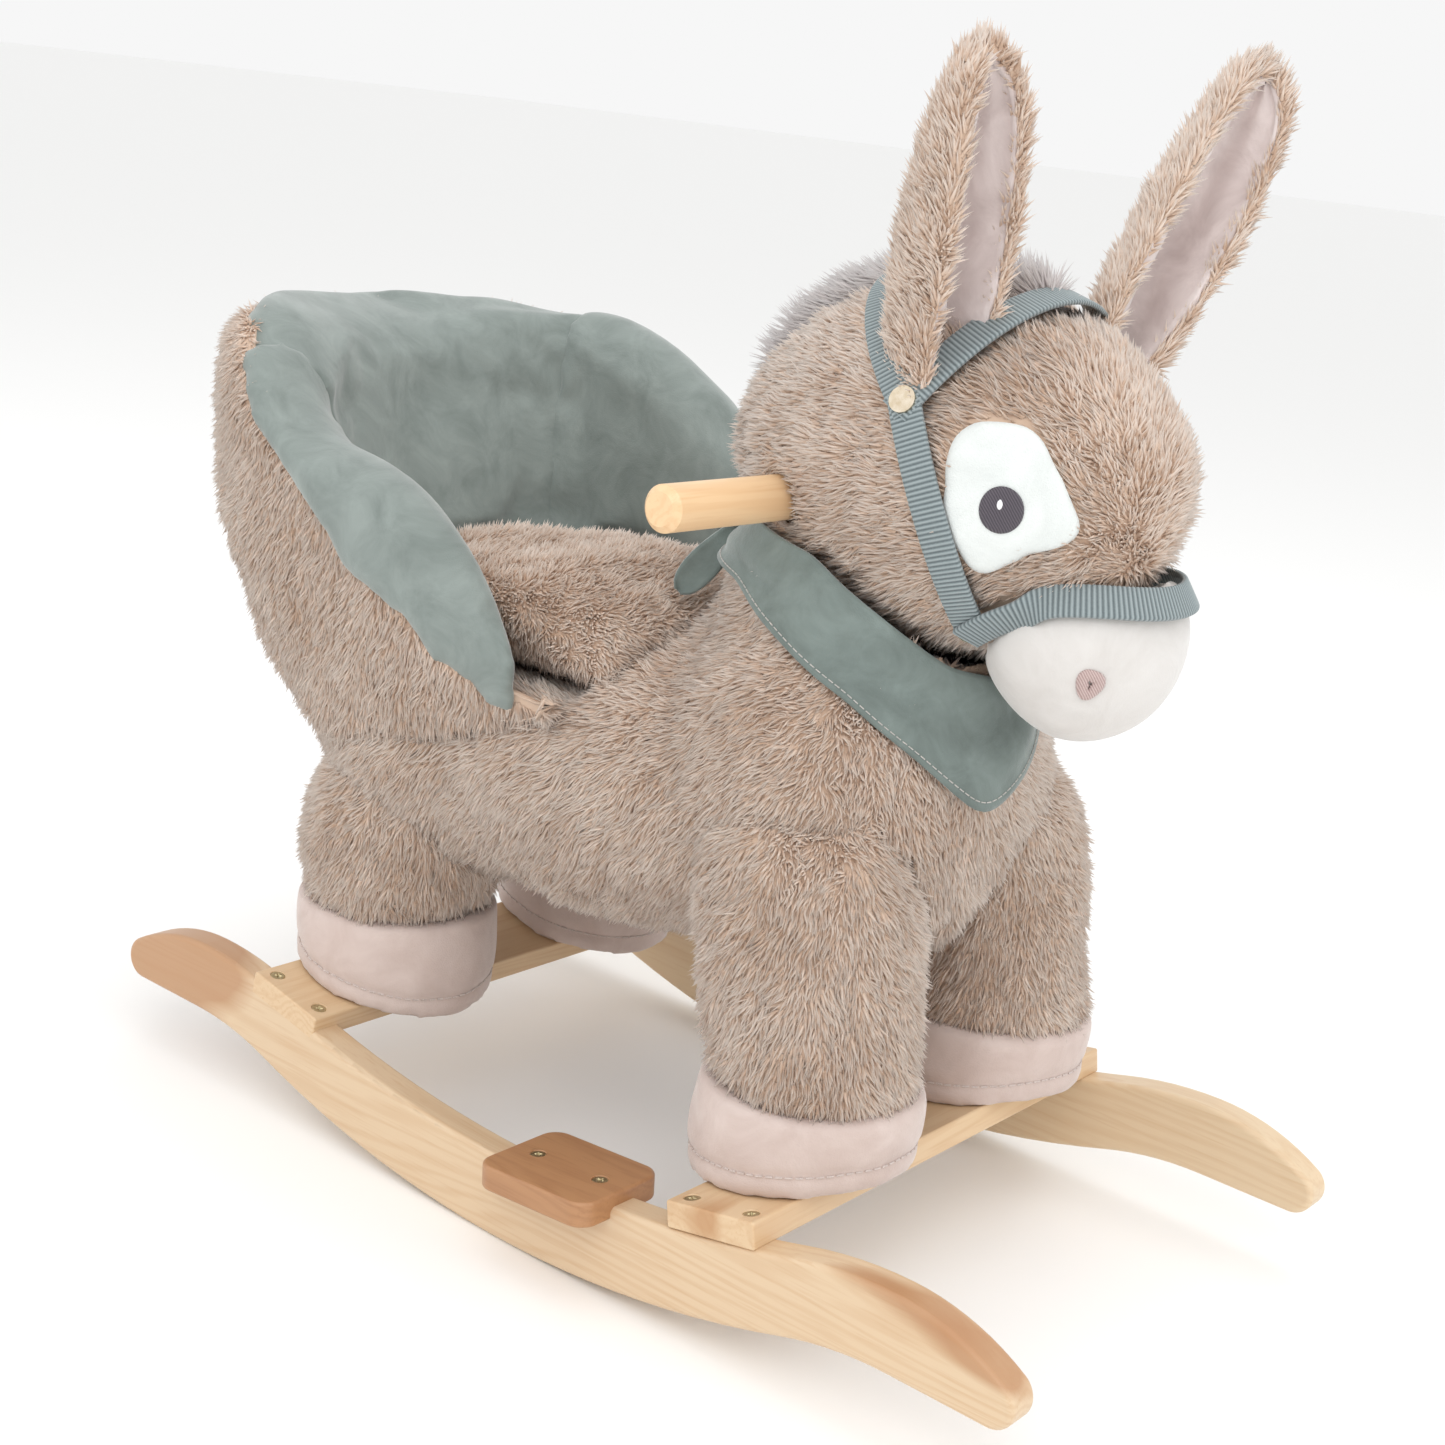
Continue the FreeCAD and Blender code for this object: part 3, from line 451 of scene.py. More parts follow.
height = add(pile, "ShaderNodeSeparateXYZ", {0: position.outputs[0]})
share = add(pile, "ShaderNodeMath", {0: height.outputs[2], 1: given["Tuft length"]},
            operation="DIVIDE")
marked = add(pile, "GeometryNodeStoreNamedAttribute",
             {"Geometry": spike.outputs["Mesh"], "Name": "tip", "Value": share.outputs[0]},
             data_type="FLOAT", domain="POINT")
grown_size = add(pile, "FunctionNodeRandomValue", {2: 0.65, 3: 1.3, 8: 11}, data_type="FLOAT")
tufts = add(pile, "GeometryNodeInstanceOnPoints",
            {"Points": roots.outputs["Points"], "Instance": marked.outputs[0],
             "Rotation": turn.outputs[0], "Scale": grown_size.outputs[1]})
shade = add(pile, "FunctionNodeRandomValue", {2: 0.0, 3: 1.0, 8: 17}, data_type="FLOAT")
toned = add(pile, "GeometryNodeStoreNamedAttribute",
            {"Geometry": tufts.outputs[0], "Name": "tuft", "Value": shade.outputs[1]},
            data_type="FLOAT", domain="INSTANCE")
real = add(pile, "GeometryNodeRealizeInstances", {0: toned.outputs[0]})
both = add(pile, "GeometryNodeJoinGeometry", {0: real.outputs[0]})
pile.links.new(given["Skin"], both.inputs[0])
rounded = add(pile, "GeometryNodeSetShadeSmooth", {0: both.outputs[0]})
dressed = add(pile, "GeometryNodeSetMaterial", {"Geometry": rounded.outputs[0],
                                                "Material": given["Plush"]})
add(pile, "NodeGroupOutput", {0: dressed.outputs[0]})


def grow(piece, plush, **sizes):
    """Grows the pile on a combed skin. sizes overrides the tree's own, by the input's label."""
    values = {label.replace("_", " "): value for label, value in sizes.items()}
    work(piece, pile, pile_inputs, {"Plush": plush, **values})


def plush(name, root, middle, tip, patchy):
    """Polyester pile plush: matte, with browner patches 30 to 60 mm wide. Each tuft is darker
    towards its root, which is painted shade deep in the pile, and paler at its tip.
    """
    material, tree, shader = finish_material(name, {"Roughness": 0.95, "Sheen Weight": 0.25,
                                                    "Sheen Roughness": 0.6,
                                                    "Specular IOR Level": 0.15})
    place = add(tree, "ShaderNodeTexCoord").outputs["Object"]
    up = add(tree, "ShaderNodeAttribute", attribute_name="tip")
    tuft = add(tree, "ShaderNodeAttribute", attribute_name="tuft")
    patches = add(tree, "ShaderNodeTexNoise", {"Vector": place, "Scale": 24.0, "Detail": 3.0,
                                               "Roughness": 0.6})
    mixed = add(tree, "ShaderNodeMath", {0: tuft.outputs["Fac"], 1: 0.4,
                                         2: patches.outputs["Fac"]}, operation="MULTIPLY_ADD")
    patch = add(tree, "ShaderNodeMapRange", {"Value": mixed.outputs[0], "From Min": 0.5,
                                             "From Max": 0.95})
    body = add(tree, "ShaderNodeMix", {"Factor": patch.outputs[0], 6: paint(middle),
                                       7: paint(patchy)}, data_type="RGBA")
    # Painted shade: near its base each tuft darkens to the root colour, where the pile lies in
    # shade.
    painted_root_shade = add(tree, "ShaderNodeMapRange", {"Value": up.outputs["Fac"], "From Max": 0.45})
    lower = add(tree, "ShaderNodeMix", {"Factor": painted_root_shade.outputs[0], 6: paint(root),
                                        7: body.outputs[2]}, data_type="RGBA")
    high = add(tree, "ShaderNodeMapRange", {"Value": up.outputs["Fac"], "From Min": 0.35,
                                            "From Max": 1.0, "To Max": 0.8})
    upper = add(tree, "ShaderNodeMix", {"Factor": high.outputs[0], 6: lower.outputs[2],
                                        7: paint(tip)}, data_type="RGBA")
    tree.links.new(upper.outputs[2], shader.inputs["Base Color"])
    return material


# The first colour of each plush is the tufts' darkened roots, painted shade deep in the pile.
taupe_plush = plush("taupe_pile_plush", "d2b8a3", "e8d2c1", "fbf0e6", "bd9b81")
grey_plush = plush("lilac_grey_pile_plush", "b5acaa", "d3cbc8", "f2edec", "b8aead")
PILE = 5.5 * MM


def body_flow(points):
    """Down the flanks and slightly to the rear."""
    flow = np.tile([-0.45, 0.0, -1.0], (len(points), 1))
    flow[:, 1] += np.sign(points[:, 1]) * 0.2
    return flow


def fill_unevenly(piece, size, depth, seed):
    """Moves the skin in and out where the filling is thicker or thinner."""
    points, normals = read(piece)
    write(piece, points + normals * lumps(points, size, depth, seed)[:, None])


torso = skin_of("body", "torso", PILE, 0.005, 14)
points, normals = read(torso)
pull = creased(points, [(40, -118, 330), (48, -122, 280), (40, -124, 200), (20, -112, 160)],
               9 * MM, 3 * MM)
pull += creased(points, [(160, 0, 300), (166, 0, 250), (150, 0, 180)], 10 * MM, 2 * MM)
pull += creased(points, [(-205, -110, 232), (-120, -136, 226), (-30, -128, 236)], 9 * MM, 3 * MM)
for side in (-1, 1):
    shoulder = np.linalg.norm(points - np.array([100, side * 92, 242]) * MM, axis=1)
    pull -= np.exp(-(shoulder / (38 * MM)) ** 2) * 14 * MM
    front_corner = np.linalg.norm(points - np.array([147, side * 64, 221]) * MM, axis=1)
    pull -= np.exp(-(front_corner / (20 * MM)) ** 2) * 6 * MM
write(torso, points - normals * pull[:, None])
fill_unevenly(torso, 0.055, 4.5 * MM, 1.0)
comb(torso, body_flow)
grow(torso, taupe_plush, Seed=3)
ride(torso, ["torso"])


# --------------------------------------------------------------------------------- legs
# Four stuffed plush tubes, each sewn to the body with a gathered seam round its top and to a
# velour hoof at its foot. The pile lies straight down.
def turned(name, rings, around=56):
    """A closed skin through rings (x, y, z, radius), in millimetres, with rounded ends."""
    points = []
    for x, y, z, radius in rings:
        for step in range(around):
            angle = math.tau * step / around
            points.append((x + radius * math.cos(angle), y + radius * math.sin(angle), z))
    faces = []
    for row in range(len(rings) - 1):
        for step in range(around):
            after = (step + 1) % around
            faces.append((row * around + step, row * around + after,
                          (row + 1) * around + after, (row + 1) * around + step))
    first, last = rings[0], rings[-1]
    points += [first[:3], last[:3]]
    top = (len(rings) - 1) * around
    for step in range(around):
        after = (step + 1) % around
        faces.append((len(points) - 2, after, step))
        faces.append((len(points) - 1, top + step, top + after))
    return new_piece(name, points, faces)


def straight_down(points):
    """Down the leg and very slightly to the rear."""
    return np.tile([-0.12, 0.0, -1.0], (len(points), 1))


legs = {
    "front": [(124, 76, 107, 36), (124, 76, 109, 45), (123, 76, 118, 47), (120, 76, 132, 48),
              (115, 76, 155, 49), (110, 75, 180, 50), (106, 74, 205, 49), (103, 73, 221, 45),
              (101, 71, 234, 37), (99, 69, 243, 24), (98, 68, 247, 9)],
    "rear": [(-158, 77, 107, 34), (-158, 77, 109, 46), (-158, 77, 118, 49), (-156, 77, 132, 51),
             (-154, 77, 150, 52), (-152, 76, 172, 51), (-150, 74, 190, 45), (-149, 72, 202, 32),
             (-149, 71, 207, 12)],
}
for end, rings in legs.items():
    for side_name, side in (("right", -1), ("left", 1)):
        name = f"{end}_leg_{side_name}"
        leg = turned(f"{end}_{side_name}_leg", [(x, side * y, z, r) for x, y, z, r in rings])
        finer = leg.modifiers.new("finer", "SUBSURF")
        finer.levels = 1
        finer.render_levels = 1
        settle(leg)
        fill_unevenly(leg, 0.04, 5 * MM, side * 3.0 + rings[0][0])
        comb(leg, straight_down)
        grow(leg, taupe_plush, Seed=20 + side, Lift=0.7)
        ride(leg, [name])


# -------------------------------------------------------------------------------- hooves
# Each hoof is a short stuffed drum of mauve-grey velour, a brushed knit about 1 mm deep. Its
# sole is sewn on with a stitched seam 11.5 mm up, and it stands on the slat.
def velour(name, base, light, brushed=1.0):
    """Brushed knit velour: soft, with a pale sheen at the edges and marks where it was stroked."""
    material, tree, shader = finish_material(name, {"Roughness": 0.85, "Sheen Weight": 0.55,
                                                    "Sheen Roughness": 0.4,
                                                    "Specular IOR Level": 0.2})
    place = add(tree, "ShaderNodeTexCoord").outputs["Object"]
    strokes = add(tree, "ShaderNodeTexNoise", {"Vector": place, "Scale": 38.0, "Detail": 4.0,
                                               "Roughness": 0.65, "Distortion": 0.6})
    soft = add(tree, "ShaderNodeMapRange", {"Value": strokes.outputs["Fac"], "From Min": 0.3,
                                            "From Max": 0.75})
    # The fibres are 0.1 mm thick, drawn as bundles of about 0.7 mm so that they show.
    fibres = add(tree, "ShaderNodeTexNoise", {"Vector": place, "Scale": 1400.0, "Detail": 2.0})
    tone = add(tree, "ShaderNodeMix", {"Factor": soft.outputs[0], 6: paint(base),
                                       7: paint(light)}, data_type="RGBA")
    tree.links.new(tone.outputs[2], shader.inputs["Base Color"])
    grain = add(tree, "ShaderNodeBump", {"Height": fibres.outputs["Fac"],
                                         "Strength": 0.35 * brushed, "Distance": 0.0006})
    shallow = add(tree, "ShaderNodeBump", {"Height": strokes.outputs["Fac"], "Strength": 0.25,
                                           "Distance": 0.002, "Normal": grain.outputs[0]})
    tree.links.new(shallow.outputs[0], shader.inputs["Normal"])
    return material


# Sewing thread in short stitches laid end to end along a seam, each one a six-sided rod.
stitch, stitch_inputs = new_tree("running_stitch", {
    "Seam": ("Geometry", None), "Stitch pitch": ("Float", 0.0046),
    "Stitch length": ("Float", 0.0034), "Thread radius": ("Float", 0.0005),
    "Thread": ("Material", None)})
given = add(stitch, "NodeGroupInput").outputs
seam = add(stitch, "GeometryNodeMeshToCurve", {0: given["Seam"]})
holes = add(stitch, "GeometryNodeCurveToPoints",
            {"Curve": seam.outputs[0], "Length": given["Stitch pitch"]}, mode="LENGTH")
along = add(stitch, "FunctionNodeAlignRotationToVector", {"Vector": holes.outputs["Tangent"]},
            axis="Z")
rod = add(stitch, "GeometryNodeMeshCylinder",
          {"Vertices": 6, "Radius": given["Thread radius"], "Depth": given["Stitch length"]})
laid = add(stitch, "GeometryNodeInstanceOnPoints",
           {"Points": holes.outputs["Points"], "Instance": rod.outputs["Mesh"],
            "Rotation": along.outputs[0]})
real = add(stitch, "GeometryNodeRealizeInstances", {0: laid.outputs[0]})
threaded = add(stitch, "GeometryNodeSetMaterial", {"Geometry": real.outputs[0],
                                                   "Material": given["Thread"]})
add(stitch, "NodeGroupOutput", {0: threaded.outputs[0]})


def sewn(name, lines, thread, **sizes):
    """Stitches along lines of points in metres. sizes overrides the tree's own, by label."""
    points, edges = [], []
    for line in lines:
        edges += [(len(points) + i, len(points) + i + 1) for i in range(len(line) - 1)]
        points += [tuple(spot) for spot in line]
    data = bpy.data.meshes.new(name)
    data.from_pydata(points, edges, [])
    piece = bpy.data.objects.new(name, data)
    bpy.context.scene.collection.objects.link(piece)
    values = {label.replace("_", " "): value for label, value in sizes.items()}
    work(piece, stitch, stitch_inputs, {"Thread": thread, **values})
    return piece


def cotton(name, code):
    """Twisted sewing thread: matte, with a faint change of tone along it."""
    material, tree, shader = finish_material(name, {"Roughness": 0.7, "Sheen Weight": 0.2})
    place = add(tree, "ShaderNodeTexCoord").outputs["Object"]
    twist = add(tree, "ShaderNodeTexNoise", {"Vector": place, "Scale": 1500.0})
    tone = add(tree, "ShaderNodeMix", {"Factor": twist.outputs["Fac"], 6: paint(code),
                                       7: paint("e6dcd6")}, data_type="RGBA")
    tree.links.new(tone.outputs[2], shader.inputs["Base Color"])
    return material


mauve_cotton = cotton("mauve_sewing_thread", "a08d86")
mauve_velour = velour("mauve_grey_velour", "c4b1a9", "d5c5be")
sole_seams = []
hoof_places = {"front": (124, 76), "rear": (-157, 76)}
for end, (hoof_x, hoof_y) in hoof_places.items():
    for side_name, side in (("right", -1), ("left", 1)):
        name = f"{end}_hoof_{side_name}"
        hoof = skin_of(f"{end}_{side_name}_hoof", name, 0.5 * MM, 0.0025, 10)
        points, normals = read(hoof)
        slat_x, tilt = SLATS[end]
        slope = math.tan(math.radians(tilt))
        level = points[:, 2] - (SLAT_TOP + (points[:, 0] / MM - slat_x) * slope) * MM
        swell = np.exp(-((level - 0.026) / 0.018) ** 2) * 1.6 * MM
        swell -= np.exp(-((level - 0.0115) / 0.0022) ** 2) * 1.5 * MM
        outward = points - np.array([hoof_x * MM, side * hoof_y * MM, 0])
        outward[:, 2] = 0
        reach = np.linalg.norm(outward, axis=1)
        edge = np.clip((reach - 0.035) / 0.012, 0, 1)
        swell += lumps(points, 0.022, 1.2 * MM, side * 2.0 + hoof_x)
        write(hoof, points + normals * (swell * edge)[:, None])
        hoof_form = bmesh.new()
        hoof_form.from_mesh(hoof.data)
        hoof_tree = BVHTree.FromBMesh(hoof_form)
        hoof_form.free()
        seam = []
        for angle in np.linspace(0, math.tau, 73):
            outward = Vector((math.cos(angle), math.sin(angle), 0))
            start = Vector((hoof_x, side * hoof_y, 0)) * MM + outward * 0.08
            start.z = (SLAT_TOP + 11.5 + (start.x / MM - outward.x * 29 - slat_x) * slope) * MM
            hit = hoof_tree.ray_cast(start, -outward)[0]
            seam.append(hit + outward * 0.0003)
        sole_seams.append(seam)
        hoof.data.materials.clear()
        hoof.data.materials.append(mauve_velour)
        ride(hoof, [name])
sole_stitches = sewn("hoof_sole_stitches", sole_seams, mauve_cotton)
ride(sole_stitches)


# ------------------------------------------------------------------------ seat wall and pads
# A horseshoe wall of foam round the seat. Plush covers its outside, and sage suede cloth covers
# its inside in three padded panels, which wrap over the rim and down the outside of the arms.
outer_levels = np.array([(180, -240, 132), (238, -294, 140), (300, -328, 144), (362, -339, 147),
                         (430, -330, 143)], float)
rear_depth = np.array([(258, 104), (300, 108), (362, 84), (414, 58), (434, 50)], float)
WALL_FRONT = -22
OVAL = 130
CORNER = 0.55


def wall_plan(z, q):
    """The wall's outside at height z. q runs from the right arm's end, -1, to the left's, 1."""
    rear = np.interp(z, outer_levels[:, 0], outer_levels[:, 1])
    half = np.interp(z, outer_levels[:, 0], outer_levels[:, 2])
    middle = rear + OVAL
    side = 1 if q > 0 else -1
    if abs(q) < CORNER:
        angle = abs(q) / CORNER * math.pi / 2
        return np.array([middle - OVAL * math.cos(angle), side * half * math.sin(angle)])
    run = (abs(q) - CORNER) / (1 - CORNER)
    return np.array([middle + (WALL_FRONT - middle) * run, side * half])


def wall_inward(z, q):
    """The horizontal direction into the seat."""
    ahead = wall_plan(z, min(q + 0.01, 1)) - wall_plan(z, max(q - 0.01, -1))
    ahead /= np.linalg.norm(ahead)
    return np.array([-ahead[1], ahead[0]]) * -1


def rim_height(x, q):
    """The rim follows an arc seen from the side. The right arm has sagged and the left stands."""
    arc = 112 + math.sqrt(302 ** 2 - (x + 290) ** 2)
    soft = math.exp(-((x + 180) / 75) ** 2)
    return arc + soft * (-31 if q < 0 else 13) * min(abs(q) / 0.4, 1)


def wall_section(q):
    """The section's points from the outer hem over the rim to the seat, and the rim's index."""
    at_top = wall_plan(400, q)
    rim = rim_height(at_top[0], q)
    hem = 192 + (at_top[0] + 256) * math.tan(math.radians(13.5))
    hem = max(hem, 184)
    near_end = min(max((1 - abs(q)) / 0.28, 0), 1)
    taper = near_end ** 0.6
    cap = min(24.0, max((rim - hem) * 0.45, 0.5))
    shape = []
    for z in np.linspace(min(hem, rim - cap - 0.5), rim - cap, 22):
        shape.append((z, 0.0))
    for angle in np.linspace(0, math.pi, 19)[1:]:
        shape.append((rim - cap + cap * math.sin(angle), 0.5 - 0.5 * math.cos(angle)))
    seat = min(282.0, rim - cap - 1)
    for z in np.linspace(rim - cap, seat, 16)[1:]:
        shape.append((z, 1.0))
    section = []
    for z, depth in shape:
        middle_share = math.cos(min(abs(q) / 0.62, 1) * math.pi / 2) ** 1.3
        rear_thick = np.interp(z, rear_depth[:, 0], rear_depth[:, 1])
        thick = (46 + (rear_thick - 46) * middle_share) * taper
        tuck = 15 * (1 - near_end) ** 1.5 + 7 * math.exp(-(z - hem) / 14)
        spot = wall_plan(z, q) + wall_inward(z, q) * (thick * depth + tuck * (1 - depth))
        section.append((spot[0], spot[1], z))
    return np.array(section), 22 + 8


def wrap_below_rim(x):
    """How far down the outside the suede comes, along the cloth."""
    arm = np.interp(x, [-300, -250, -190, -150, -93, -57, -28, -22],
                    [14, 17, 36, 60, 72, 50, 14, 1])
    return float(arm)


def along_section(section, rim_index, start, end, count):
    """Evenly spaced points of a section between two distances from the suede's outer edge."""
    steps = np.linalg.norm(np.diff(section, axis=0), axis=1)
    run = np.concatenate([[0], np.cumsum(steps)])
    border = max(run[rim_index] - wrap_below_rim(section[rim_index][0]), 0.5)
    first = 0.0 if start is None else min(max(border + start, 0), run[-1])
    last = run[-1] if end is None else min(max(border + end, 0), run[-1])
    spots = np.linspace(first, last, count)
    return np.stack([np.interp(spots, run, section[:, axis]) for axis in range(3)], axis=1)


def face_outwards(piece):
    """Turns the faces of a closed piece outwards."""
    form = bmesh.new()
    form.from_mesh(piece.data)
    bmesh.ops.recalc_face_normals(form, faces=form.faces)
    form.to_mesh(piece.data)
    form.free()


def shell(name, outside, inside):
    """A closed piece between two grids of points, outside first."""
    rows, columns = outside.shape[:2]
    size = rows * columns
    points = np.concatenate([outside.reshape(-1, 3), inside.reshape(-1, 3)])
    faces = []
    for row in range(rows - 1):
        for column in range(columns - 1):
            a = row * columns + column
            faces.append((a, a + 1, a + columns + 1, a + columns))
            faces.append((size + a, size + a + columns, size + a + columns + 1, size + a + 1))
    for row in range(rows - 1):
        for column, turn_over in ((0, False), (columns - 1, True)):
            a = row * columns + column
            edge = (a, a + columns, size + a + columns, size + a)
            faces.append(edge[::-1] if turn_over else edge)
    for column in range(columns - 1):
        for row, turn_over in ((0, True), (rows - 1, False)):
            a = row * columns + column
            edge = (a, a + 1, size + a + 1, size + a)
            faces.append(edge if turn_over is False else edge[::-1])
    piece = new_piece(name, points, faces)
    face_outwards(piece)
    return piece


def grid_normals(grid):
    along = np.gradient(grid, axis=0)
    across = np.gradient(grid, axis=1)
    normal = np.cross(along, across)
    return normal / (np.linalg.norm(normal, axis=2)[:, :, None] + 1e-9)


def wall_grid(q_from, q_to, columns, start, end, rows):
    grid = np.stack([along_section(*wall_section(q), start, end, rows)
                     for q in np.linspace(q_from, q_to, columns)])
    normal = grid_normals(grid)
    centre = np.array([-150.0, 0.0, 300.0])
    outwards = grid[:, :rows // 3] - centre
    if np.sum(normal[:, :rows // 3] * outwards) < 0:
        normal = -normal
    return grid, normal


def plump(piece, cell, cap, stiff=18.0):
    """Swells a sewn, filled piece as cloth under air. No point moves further than cap."""
    remesh = piece.modifiers.new("weave", "REMESH")
    remesh.mode = "VOXEL"
    remesh.voxel_size = cell
    relax = piece.modifiers.new("relax", "SMOOTH")
    relax.factor = 0.5
    relax.iterations = 3
    settle(piece)
    piece.data.shade_smooth()
    before, _ = read(piece)
    cloth = piece.modifiers.new("air", "CLOTH")
    cloth.settings.use_pressure = True
    cloth.settings.uniform_pressure_force = 4
    cloth.settings.tension_stiffness = stiff
    cloth.settings.compression_stiffness = stiff
    cloth.settings.bending_stiffness = 0.4
    cloth.settings.effector_weights.gravity = 0
    cloth.point_cache.frame_end = 20
    for step in range(1, 21):
        bpy.context.scene.frame_set(step)
    graph = bpy.context.evaluated_depsgraph_get()
    swollen = piece.evaluated_get(graph).data
    after = np.empty(len(swollen.vertices) * 3)
    swollen.vertices.foreach_get("co", after)
    move = after.reshape(-1, 3) - before
    far = np.linalg.norm(move, axis=1)
    move *= (np.minimum(far, cap) / (far + 1e-9))[:, None]
    piece.modifiers.clear()
    bpy.context.scene.frame_set(1)
    write(piece, before + move)
    ironed = piece.modifiers.new("ironed", "SMOOTH")
    ironed.factor = 0.5
    ironed.iterations = 5
    finer = piece.modifiers.new("finer", "SUBSURF")
    finer.levels = 1
    finer.render_levels = 1
    settle(piece)


def wall_flow(points):
    """Down the outside and slightly to the front."""
    return np.tile([0.25, 0.0, -1.0], (len(points), 1))


grid, normal = wall_grid(-1, 1, 150, None, 3, 40)
outside = grid - normal * 5.0
wall = shell("seat_wall_cover", outside, grid - normal * 11.0)
points, normals = read(wall)
fill_unevenly(wall, 0.06, 4 * MM, 8.0)
outer_count = outside.shape[0] * outside.shape[1]
under = np.ones(len(points))
# No pile grows where the suede laps over the cover's upper edge.
under[:outer_count] = (np.linalg.norm(grid - grid[:, -1:], axis=2) < 4.5).ravel()
comb(wall, wall_flow, lambda points: under)
grow(wall, taupe_plush, Seed=31, Lift=0.7)
ride(wall, ["seat_wall"])

# Sage suede cloth: a dense brushed polyester with cloudy marks where its nap was stroked.
sage_suede = velour("sage_suede_cloth", "78817d", "939c98", 0.8)
panels = {"right": (-0.955, -0.425), "back": (-0.475, 0.475), "left": (0.425, 0.955)}
for panel_name, (q_from, q_to) in panels.items():
    grid, normal = wall_grid(q_from, q_to, 90, -7, None, 70)
    # The padding thins out towards the front of each arm, so the lining ends in a point.
    at_arm_end = np.clip((0.955 - np.abs(np.linspace(q_from, q_to, 90))) / 0.22, 0.12, 1)
    thick = (18 * at_arm_end ** 0.7)[:, None, None]
    panel = shell(f"seat_lining_{panel_name}", grid - normal * 1.5, grid - normal * (1.5 + thick))
    plump(panel, 0.004, 6 * MM)
    points, normals = read(panel)
    folds = np.sin(points[:, 1] * 70 + points[:, 0] * 60) * 0.8 * MM
    folds += lumps(points, 0.035, 1.6 * MM, 5.0)
    write(panel, points + normals * folds[:, None])
    panel.data.materials.clear()
    panel.data.materials.append(sage_suede)
    ride(panel, [f"lining_{panel_name}"])

# The seat itself is a plush pad, crowned, with its pile brushed forward over the front fold.
pad = skin_of("seat_cushion", "seat_pad", 6 * MM, 0.005, 10)
plump(pad, 0.005, 5 * MM)
points, normals = read(pad)
crown = np.clip((points[:, 2] - 0.258) / 0.034, 0, 1)
ahead = np.clip((points[:, 0] + 0.085) / 0.05, 0, 1)
points[:, 1] *= 1 + 0.26 * crown * (1 - ahead) + (0.2 * (1 - crown) + 0.07 * crown) * ahead
points[:, 0] = -0.124 + (points[:, 0] + 0.124) * (1 + 0.12 * crown)
points[:, 2] += 0.006 * crown * np.clip((points[:, 0] + 0.16) / 0.08, 0, 1)
points[:, 0] += 0.012 * ahead
write(pad, points)
fill_unevenly(pad, 0.05, 5 * MM, 12.0)
comb(pad, lambda points: np.tile([1.0, -0.2, -0.3], (len(points), 1)),
     lambda points: np.clip((0.262 - points[:, 2]) / 0.01, 0, 1))
grow(pad, taupe_plush, Seed=41, Lift=0.8)
ride(pad, ["seat_pad"])


# ------------------------------------------------------------------------- head and muzzle
# A large stuffed ball of plush with a small white velour muzzle sewn into its front. The pile
# runs from the nose back over the brow and down the cheeks.
HEAD = np.array([108.0, 0.0, 391.0])
HEAD_HALF = np.array([116.0, 83.0, 87.0])
MUZZLE = np.array([187.0, 0.0, 328.0])
MUZZLE_HALF = np.array([44.0, 51.0, 46.0])


def on_egg(middle, half, toward, start=None):
    """Where a ray from start meets an egg's far side, in millimetres, and the normal there."""
    start = middle if start is None else start
    origin = (start - middle) / half
    aim = toward / half
    a = aim @ aim
    b = 2 * origin @ aim
    c = origin @ origin - 1
    inside = b * b - 4 * a * c
    if inside < 0:
        return None, None, 0
    far = (-b + math.sqrt(inside)) / (2 * a)
    spot = start + toward * far
    normal = (spot - middle) / half ** 2
    return spot, normal / np.linalg.norm(normal), far


def on_face(start, toward):
    """The outermost of head and muzzle along a ray."""
    best = max((on_egg(HEAD, HEAD_HALF, toward, start), on_egg(MUZZLE, MUZZLE_HALF, toward,
                                                              start)), key=lambda hit: hit[2])
    return best[0], best[1]


def strap_path(start, toward, first, last, count, dip=0.0):
    """A strap's middle line where a slanted plane cuts the face, between two angles in degrees.
    dip lets it sink below that plane over the nose."""
    down = np.array([toward[0] - start[0], 0.0, toward[1] - start[1]])
    down /= np.linalg.norm(down)
    base = np.array([start[0], 0.0, start[1]])
    hits = [on_face(base, down * math.cos(math.radians(a))
                    + np.array([0, 1.0, 0]) * math.sin(math.radians(a))
                    - np.array([0, 0, dip]) * max(math.cos(math.radians(a)), 0) ** 3)
            for a in np.linspace(first, last, count)]
    middle, normal = np.array([h[0] for h in hits]), np.array([h[1] for h in hits])
    for _ in range(160):
        middle[1:-1] = (middle[:-2] + middle[2:]) / 2
        normal[1:-1] = (normal[:-2] + normal[2:]) / 2
    return middle, normal


straps = {
    "bridle_noseband": strap_path((157, 331), (238, 390), -94, 94, 420, 0.34),
    "bridle_browband": strap_path((124, 425), (152, 478), -94, 94, 420),
    "bridle_crownband": strap_path((124, 425), (72, 474), -94, 94, 420),
}
for side_name, side in (("right", -1), ("left", 1)):
    upper, lower = np.array([124.0, side * 76, 425]), np.array([157.0, side * 49, 331])
    line = [upper + (lower - upper) * t for t in np.linspace(-0.06, 1.06, 240)]
    hits = [on_egg(HEAD, HEAD_HALF, (spot - HEAD)) for spot in line]
    straps[f"bridle_cheek_{side_name}"] = (np.array([h[0] for h in hits]),
                                           np.array([h[1] for h in hits]))


def eye_frame(side):
    """The eye patch's middle on the head, and the directions along the cheek and up."""
    x, z = 175.0, 388.0
    share = 1 - ((x - HEAD[0]) / HEAD_HALF[0]) ** 2 - ((z - HEAD[2]) / HEAD_HALF[2]) ** 2
    spot = np.array([x, side * HEAD_HALF[1] * math.sqrt(share), z])
    normal = (spot - HEAD) / HEAD_HALF ** 2
    normal /= np.linalg.norm(normal)
    up = np.array([0.0, 0.0, 1.0]) - normal * normal[2]
    up /= np.linalg.norm(up)
    forward = np.cross(up, normal) * -side
    return spot, forward, up


